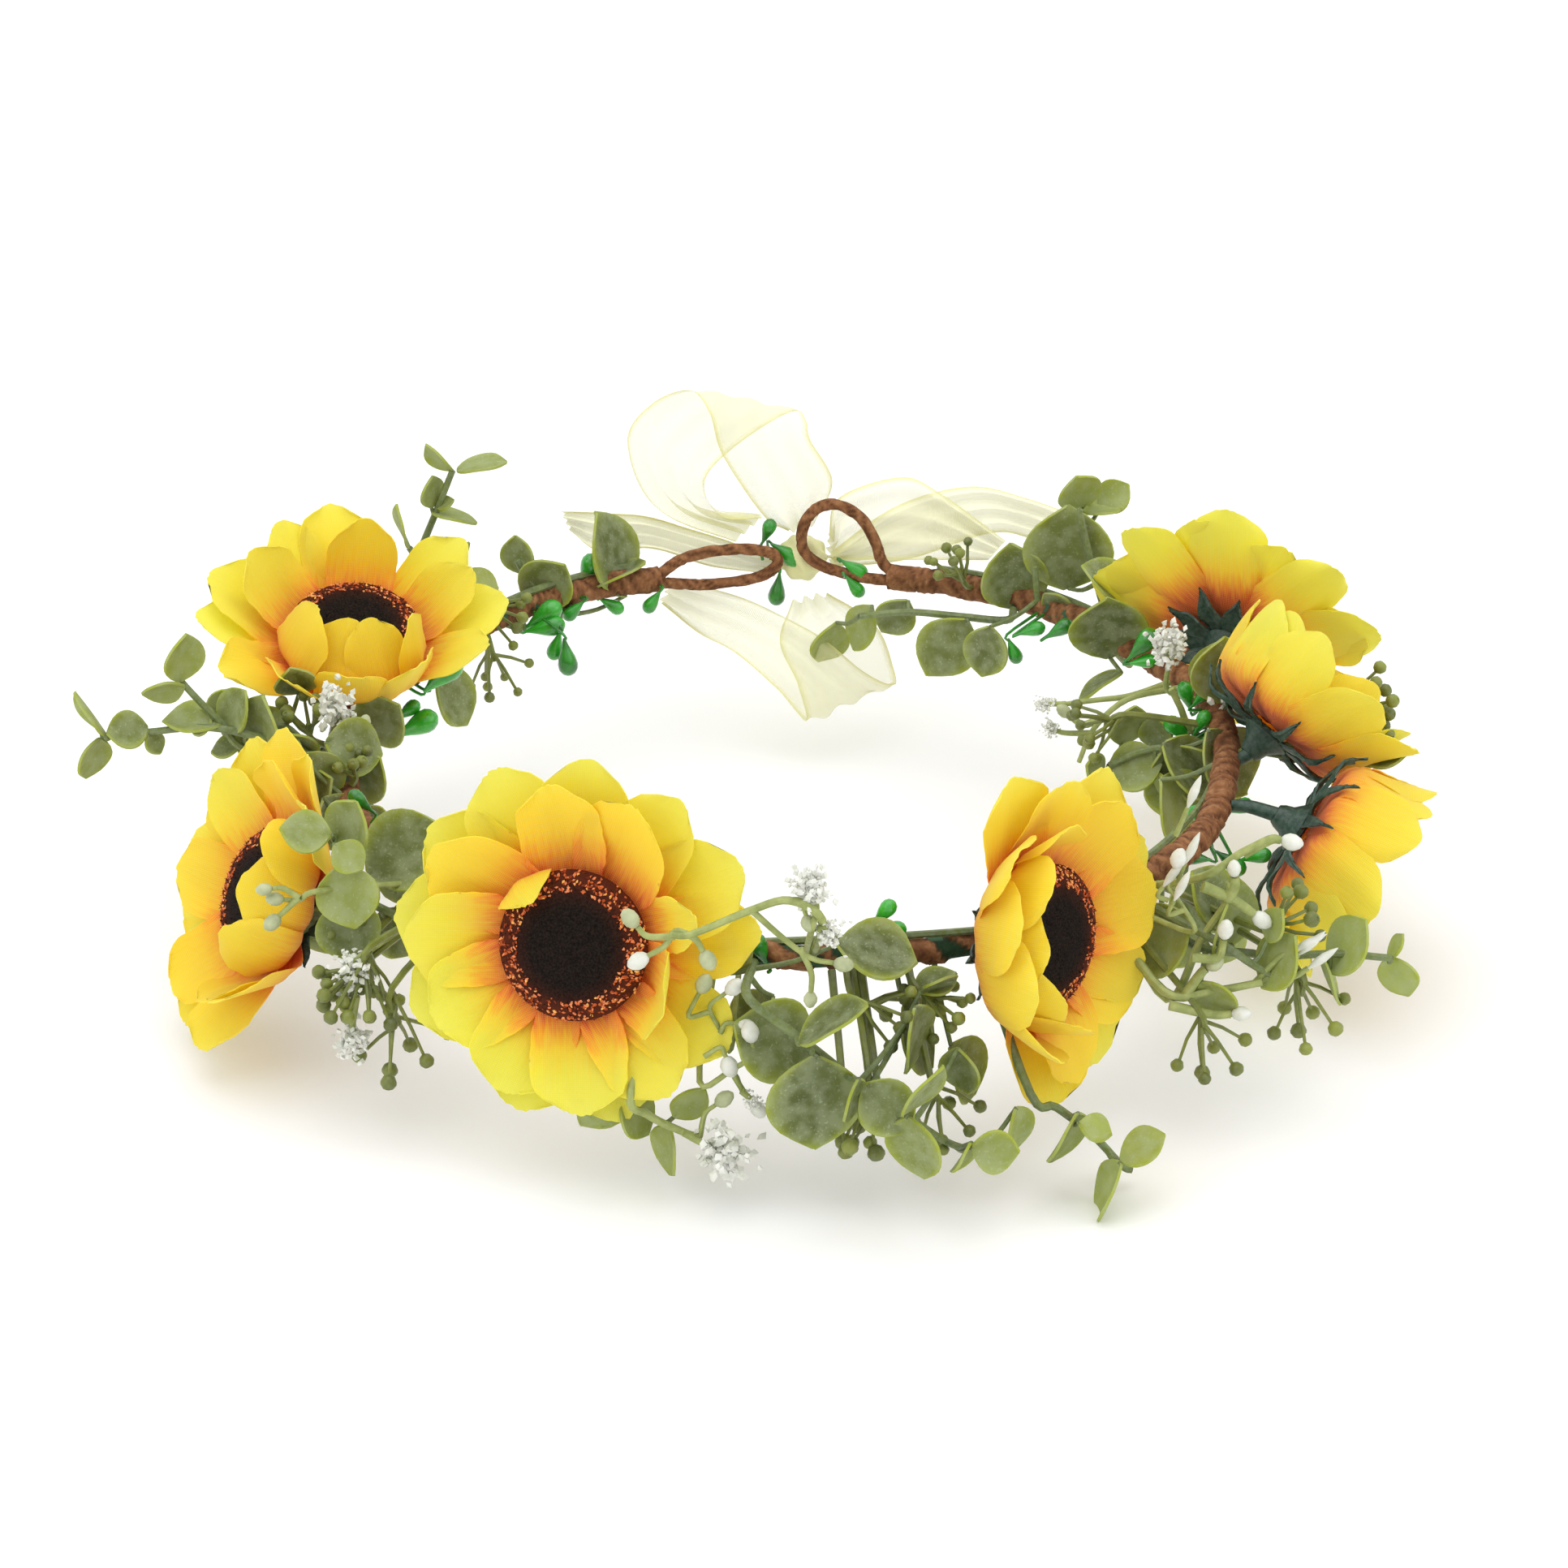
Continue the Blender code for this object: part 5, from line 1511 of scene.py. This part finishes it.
@dataclass
class Foliage:
    """Eucalyptus: paired round leaves on their stems."""

    leaf: Shape
    width: float = 0.96
    stem_radius: float = 0.00095
    stalk_radius: float = 0.0006
    stalk_from: float = 0.0012
    drift: dict[str, float] = field(default_factory=lambda: {"leaves_by_the_band": 3})
    sight: Vector = field(default_factory=lambda: heading(-90.0, 26.0))

    def blade(self, size: float, width: float, cup: float, droop: float, rng: random.Random) -> Shape:
        """A leaf of one size, cupped and drooping, that lies along +X with its face to +Z.

        Args:
            size: Its length.
            width: Its width as a share of its length.
            cup: How far its sides rise, as a share of its half width.
            droop: How far it bends down along its length, in degrees.
            rng: Where its small waves come from.

        Returns:
            The leaf.
        """
        made = self.leaf.copy()
        u, v = made.values["u"], made.values["v"]
        half = made.points[:, 0] * size * width / 2.0
        angle = -math.radians(droop) * v
        along = size * v * (1.0 - 0.10 * (v * math.radians(droop)) ** 2)
        wave = 0.025 * size * np.sin(6.0 * v + rng.uniform(0, 6.0)) * u * np.abs(u)
        rise = cup * np.abs(half) * np.abs(u) + wave + size * 0.5 * v * np.sin(angle)
        rib = -0.018 * size * np.exp(-((u / 0.12) ** 2)) * (1.0 - v)
        made.points = np.stack([along * np.cos(angle * 0.5), half, rise + rib], 1)
        return made.value("rim", np.clip(np.maximum(np.abs(u) ** 1.5, v**5), 0.0, 1.0))

    def placed(self, row: Sequence[float], drift: float, rng: random.Random) -> Shape:
        """A leaf from its row in the table.

        Args:
            row: Depth, base, tip, width share and youth.
            drift: How much deeper the tip lies than the base, in millimetres.
            rng: Where its small differences come from.

        Returns:
            The leaf in its place.
        """
        depth, x, z, tip_x, tip_z, share, youth = row
        (base,), (tip,) = profile(depth, x, z), profile(depth + drift, tip_x, tip_z)
        out = tip - base
        size = out.length
        out.normalize()
        facing = (self.sight - out * self.sight.dot(out)).normalized()
        if share > self.width:
            real = size * share / self.width
            lean = math.acos(min(size / real, 1.0)) * 0.8
            size = real
            out = (out * math.cos(lean) + facing * math.sin(lean) * rng.choice((0.6, 1.0))).normalized()
            facing = (self.sight - out * self.sight.dot(out)).normalized()
            share = self.width
        roll = math.acos(min(share / self.width, 1.0)) * rng.choice((-1.0, 1.0)) + rng.uniform(-0.15, 0.15)
        facing = Matrix.Rotation(roll, 3, out) @ facing
        grid = Matrix((out, facing.cross(out), facing)).transposed().to_4x4()
        leaf = self.blade(size, self.width * rng.uniform(0.94, 1.06), rng.uniform(0.05, 0.3), rng.uniform(-18, 18), rng)
        tone = min(max(youth + rng.uniform(-0.08, 0.08), 0.0), 1.0)
        return leaf.moved(Matrix.Translation(base) @ grid).value("tone", tone)

    def build(self) -> None:
        """Every sprig: its leaves, its stems and the stalks between them."""
        for name, rows in LEAVES.items():
            rng = own_random(name)
            drift = self.drift.get(name, 0.0)
            leaves = [self.placed(row, drift, rng) for row in rows]
            runs = []
            for line in STEMS.get(name, ()):
                points = profile(*line)
                runs.append((smooth_run([BAND.nearest(points[0]), *points], 5), self.stem_radius))
            along = [p for run, _ in runs for p in run]
            for row in rows:
                base = profile(*row[:3])[0]
                near = min(along, key=lambda p, base=base: (p - base).length) if along else BAND.nearest(base)
                if (near - base).length > self.stalk_from:
                    middle = (near + base) / 2 + Vector((0.0, 0.0, -0.001))
                    runs.append((smooth_run([near, middle, base], 3), self.stalk_radius))
            put(name + "_leaves", joined(leaves), LEAF, Slot.LEAF, nodes=own_node(name), thickness=0.00055, smooth=50.0)
            put(name + "_stem", Bench.tubes(runs, 8).value("tone", 0.55), STEM, Slot.LEAF)


@dataclass
class BuddedSprigs:
    """Baby's breath, seed heads and glossy pips."""

    chip: Shape
    tuft_crumbs: int = 130
    pip_length: float = 3.96
    slim: float = 0.82

    def __post_init__(self) -> None:
        """Models each kind of bud once."""
        self.bud = Bench.turned(((0.20, 0.0), (0.60, 0.35), (0.88, 0.9), (0.86, 1.5), (0.55, 2.1), (0.14, 2.4)), 10)
        self.long = Bench.turned(((0.14, 0.0), (0.34, 0.6), (0.60, 1.6), (0.62, 2.6), (0.40, 3.8), (0.06, 4.8)), 8)
        ball = (
            (0.22, 0.0), (0.72, 0.28), (1.0, 0.9), (0.98, 1.25), (0.62, 1.75), (0.30, 1.86), (0.24, 1.76), (0.10, 1.74),
        )
        self.ball = Bench.turned(ball, 10)
        pip = (
            (0.14, 0.0), (0.26, 0.5), (0.52, 1.2), (0.84, 2.0), (1.0, 2.7), (0.96, 3.2), (0.70, 3.65), (0.30, 3.9),
            (0.08, self.pip_length),
        )
        self.pip = Bench.turned(pip, 14)

    def tuft(self, point: Vector, out: Vector, size: float, rng: random.Random) -> list[Shape]:
        """A tuft of white crumbs round the end of a twig."""
        parts = []
        for _ in range(self.tuft_crumbs):
            away = Vector([rng.gauss(0.0, 0.44) for _ in range(3)]) * size
            place = point + out * size * rng.uniform(-0.3, 0.6) + away
            lean = Vector([rng.uniform(-1.0, 1.0) for _ in range(3)]).normalized()
            grain = size * rng.uniform(0.13, 0.28)
            parts.append(self.chip.moved(seat(place, lean, rng.uniform(0, 360), (grain, grain * 0.8, grain * 0.9))))
        return parts

    def babys_breath(self, name: str, twigs: Sequence[tuple]) -> None:
        """Pale branched stems with white buds and tufts."""
        rng = own_random(name)
        runs, buds = [], []
        for i, (kind, radius, *line) in enumerate(twigs):
            points = profile(*line)
            if i == 0 or kind == "n":
                points = [BAND.nearest(points[0]), *points]
            run = smooth_run(points, 5)
            runs.append((run, 0.0007 if kind == "t" else radius * self.slim * MM))
            end, out = run[-1], (run[-1] - run[-3]).normalized()
            if kind == "t":
                buds += [part.value("white", 1.0) for part in self.tuft(end, out, radius * MM, rng)]
            elif kind in "wg":
                size, white = (0.0017, 0.95) if kind == "w" else (0.0016, 0.3)
                buds.append(self.bud.moved(seat(end, out, 0.0, size * rng.uniform(0.9, 1.15))).value("white", white))
            elif kind == "l":
                buds.append(self.long.moved(seat(end, out, 0.0, 0.0015)).value("white", 0.9))
        shape = joined([Bench.tubes(runs, 8).value("white", 0.05), *buds])
        put(name + "_spray", shape, BUD, Slot.BUD, nodes=own_node(name), smooth=45.0)

    def seeds(self, name: str, heads: Sequence[tuple]) -> None:
        """Olive stems with small round seeds."""
        rng = own_random(name)
        runs, balls = [], []
        for *line, count, radius in heads:
            foot, middle = profile(*line)
            out = (middle - foot).normalized()
            reach = (middle - foot).length
            level = out.orthogonal().normalized()
            runs.append((smooth_run([BAND.nearest(foot), foot, foot + out * reach * 0.5], 4), 0.0008))
            for i in range(count):
                side = Matrix.Rotation(2.4 * i, 3, out) @ level
                wide = math.sqrt((i + 0.5) / count) * 0.55 * reach + 0.0012
                start = foot + out * reach * rng.uniform(0.1, 0.5)
                end = foot + out * reach * rng.uniform(0.75, 1.0) + side * wide
                lean = (end - start).normalized()
                runs.append(([start, (start + end) / 2 + side * 0.0005, end], 0.00045))
                size = radius * MM * rng.uniform(0.85, 1.1)
                balls.append(self.ball.moved(seat(end, lean, 0.0, size)).value("tone", rng.uniform(0.1, 0.9)))
        shape = joined([Bench.tubes(runs, 6).value("tone", 0.4), *balls])
        put(name + "_seeds", shape, SEED, Slot.SEED, nodes=own_node(name), smooth=45.0)

    def pips(self, name: str, rows: Sequence[Sequence[float]]) -> None:
        """Glossy pips on short wires from the band."""
        runs, pips = [], []
        for *line, tone in rows:
            foot, end = profile(*line)
            out = (end - foot).normalized()
            size = max((end - foot).length, 0.0065) / self.pip_length
            pips.append(self.pip.moved(seat(foot, out, 0.0, size)).value("tone", tone))
            runs.append((smooth_run([BAND.nearest(foot), foot - out * 0.001, foot + out * 0.0008], 3), 0.0004))
        shape = joined([Bench.tubes(runs, 6).value("tone", 0.3), *pips])
        put(name + "_pips", shape, PIP, Slot.PIP, nodes=(name,), smooth=60.0)

    def build(self) -> None:
        """Every budded stem."""
        for name, twigs in BABYS_BREATH.items():
            self.babys_breath(name, twigs)
        for name, heads in UMBELS.items():
            self.seeds(name, heads)
        self.pips("pip_garland_left", [row for row in PIPS if row[1] < 0])
        self.pips("pip_garland_right", [row for row in PIPS if row[1] >= 0])


# ---------------------------------------------------------------- the ribbon


# The ribbon in millimetres: each row is a middle point and the half width there, as a vector.
RUNS = {
    "ribbon_loop_top": (
        (-8, 104, 6, 3, -1, 3), (-22, 106, 10, 8, -3, 0), (-27, 107.5, 21, 9, -5, -3), (-21, 109, 29, 9, -4, -4),
        (-10, 108, 36, 12, -1, -2), (-6, 103, 34, 11, 0, -1), (-4, 100.5, 27, 10, 0, 2), (3, 99.5, 15, 8, 0, 4),
        (4, 99, 8, 3, 0, 1),
    ),
    "ribbon_loop_low": (
        (-27, 99, -8, 2, 0, 3), (-14, 92, -11, 6, 0, 4), (-2, 84, -14, 9, 1, 2), (8, 79.5, -21, 10, 2, 1),
        (15, 80, -27.5, 10, 3, 3), (14, 83.5, -22, 11, 3, 1), (10, 88.5, -14, 11, 2, 1), (6, 95.5, -8, 4, 0, 1),
    ),
    "ribbon_loop_right": (
        (10.5, 99, 3, 0, 0, 3), (15, 101, 7, -2, 2, 7), (26, 102, 9, 1, 3, 9), (36, 102, 7, 0, 3, 7),
        (49, 100, 2, 2, 1, 2),
    ),
    "ribbon_tail_right": (
        (11, 103, -2, 0, 0, 2), (28, 108.5, 3, -1, 2, 6), (45, 107, 9, -2, 2, 5), (56, 105, 8, 0, 2, 4),
        (68, 100, 5, 1, 2, 4),
    ),
    "ribbon_tail_left": (
        (-2, 98.5, -1, 0, 0, 2), (-17, 99.5, 2, 0, 2, 3), (-31, 100.5, 6, 0, 2, 3), (-42, 101, 6, 0, 2, 4),
        (-50, 103, 8, -1, 1, 2),
    ),
}


@dataclass
class Ribbon:
    """The organza tie: a knot and the runs of ribbon that leave it."""

    width: float = 0.025
    knot_place: tuple[float, float, float] = (0.0042, 0.0985, 0.0010)
    knot_size: tuple[float, float, float] = (0.0052, 0.0036, 0.0052)
    knot_columns: int = 28
    knot_rows: int = 36
    steps: int = 10

    def run(self, name: str) -> None:
        """One run of ribbon, smooth along its length and gathered where it is narrow."""
        sections = RUNS[name]
        middles = np.array([list(p) for p in smooth_run([row[:3] for row in sections], self.steps)]) * MM
        halves = np.array([list(p) for p in smooth_run([row[3:] for row in sections], self.steps)]) * MM
        count = len(middles) - 1
        along = np.gradient(middles, axis=0)
        along /= np.linalg.norm(along, axis=1)[:, None]
        wide = np.linalg.norm(halves, axis=1)
        face = np.cross(along, halves)
        face /= np.linalg.norm(face, axis=1)[:, None]
        half_width = self.width / 2.0
        spare = np.clip(1.0 - wide / half_width, 0.0, 1.0)
        excess = np.maximum(half_width / wide - 1.0, 0.0)
        pleat = 0.19 * wide * np.sqrt(excess) * (1.0 + 0.25 * excess)
        length = float(np.sum(np.linalg.norm(np.diff(middles, axis=0), axis=1)))

        def place(v: np.ndarray, u: np.ndarray) -> np.ndarray:
            """The points of the cloth."""
            i = np.rint(v * count).astype(int)
            across = 2.0 * u - 1.0
            gather = pleat[i] * np.sin(across * 3.0 * math.pi + 0.6)
            ripple = 0.0005 * np.sin(v * 17.0 + across * 2.0)
            return middles[i] + halves[i] * across[:, None] + face[i] * (gather + ripple)[:, None]

        shape = sheet_of(count, 28, place)
        u = np.abs(shape.values["u"])
        i = np.rint(shape.values["v"] * count).astype(int)
        shape.value("rim", ease((u - 0.90) / 0.08)).value("dense", spare[i] ** 2)
        shape.cloth = np.stack([shape.values["u"] * half_width, shape.values["v"] * length], 1) / CLOTH_UNIT
        piece = put(name + "_cloth", shape, SHEER, Slot.ORGANZA, nodes=(name,), thickness=0.00008, smooth=60.0)

    def knot(self) -> None:
        """The crumpled knot behind the eyes."""
        centre, size = Vector(self.knot_place), self.knot_size

        def place(v: np.ndarray, u: np.ndarray) -> np.ndarray:
            """Folded cloth wrapped into a ball."""
            polar = math.pi * (0.02 + 0.96 * v)
            turn = 2.0 * math.pi * u
            swell = 1.0 + 0.10 * np.sin(5.0 * turn + 3.0 * polar) + 0.06 * np.sin(9.0 * polar + 2.0 * turn)
            x = np.cos(polar) * size[0] * swell
            y = np.sin(polar) * np.cos(turn) * size[1] * swell
            z = np.sin(polar) * np.sin(turn) * size[2] * swell
            return np.stack([x, y, z], 1) + np.array(centre)

        shape = sheet_of(self.knot_columns, self.knot_rows, place, wraps=True)
        count = len(shape.points)
        shape.faces.append(tuple(range(self.knot_rows - 1, -1, -1)))
        shape.faces.append(tuple(range(count - self.knot_rows, count)))
        shape.value("rim", 0.3).value("dense", 0.5)
        shape.cloth = shape.cloth * 0.8
        put("ribbon_knot_cloth", shape, KNOTTED, Slot.ORGANZA, nodes=("ribbon_knot",), smooth=60.0, recalculate=True)

    def build(self) -> None:
        """The knot, then every run."""
        self.knot()
        for name in RUNS:
            self.run(name)


# ---------------------------------------------------------------- the studio


@dataclass
class Studio:
    """A pale floor, soft light all round and the camera."""

    distance: float = 0.95
    elevation: float = 26.3
    target: tuple[float, float, float] = (0.0, 0.0, -0.0085)
    lens: float = 103.34

    def build(self) -> None:
        """Floor, world, lamps and camera."""
        scene = bpy.context.scene
        scene.view_settings.view_transform = "Standard"
        world = bpy.data.worlds.new("white_room")
        world.use_nodes = True
        world.node_tree.nodes["Background"].inputs[0].default_value = (1.0, 1.0, 1.0, 1.0)
        world.node_tree.nodes["Background"].inputs[1].default_value = 0.95
        scene.world = world
        low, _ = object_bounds()
        Bench.clear()
        bpy.ops.mesh.primitive_plane_add(size=8.0, location=(0.0, 0.0, low.z - 0.0004))
        floor = bpy.context.object
        floor.name = "studio_floor"
        material = bpy.data.materials.new("floor_white")
        material.use_nodes = True
        shader = material.node_tree.nodes["Principled BSDF"]
        shader.inputs["Base Color"].default_value = (0.95, 0.95, 0.95, 1.0)
        shader.inputs["Roughness"].default_value = 0.8
        floor.data.materials.append(material)
        floor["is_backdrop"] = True
        for name, place, size, power in (
            ("lamp_over", (0.0, -0.1, 1.4), 1.6, 9.0),
            ("lamp_left", (-1.1, -0.9, 0.8), 0.9, 3.0),
            ("lamp_right", (1.2, -0.5, 0.7), 0.9, 2.4),
        ):
            data = bpy.data.lights.new(name, "AREA")
            data.size = size
            data.energy = power
            lamp = bpy.data.objects.new(name, data)
            scene.collection.objects.link(lamp)
            lamp.location = place
            lamp.rotation_euler = Vector(place).to_track_quat("Z", "Y").to_euler()
        data = bpy.data.cameras.new("camera")
        data.lens = self.lens
        data.sensor_width = 36.0
        data.clip_start, data.clip_end = 0.05, 50.0
        camera = bpy.data.objects.new("camera", data)
        scene.collection.objects.link(camera)
        back = heading(-90.0, self.elevation)
        camera.location = Vector(self.target) + back * self.distance
        camera.rotation_euler = back.to_track_quat("Z", "Y").to_euler()
        scene.camera = camera


def load_frame() -> dict:
    """Empties the scene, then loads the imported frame."""
    for obj in list(bpy.data.objects):
        bpy.data.objects.remove(obj)
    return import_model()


def main() -> None:
    """Builds the whole crown and its studio."""
    Studio().build()
    BAND.build()
    SunflowerBed().build()
    Foliage(Bench.blade(8, LEAF_OUTLINE)).build()
    BuddedSprigs(Bench.chip()).build()
    Ribbon().build()


if __name__ == "__main__":
    logging.basicConfig(level=logging.INFO, format="%(message)s")
    FRAME = load_frame()
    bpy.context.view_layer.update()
    BAND = Band()
    main()
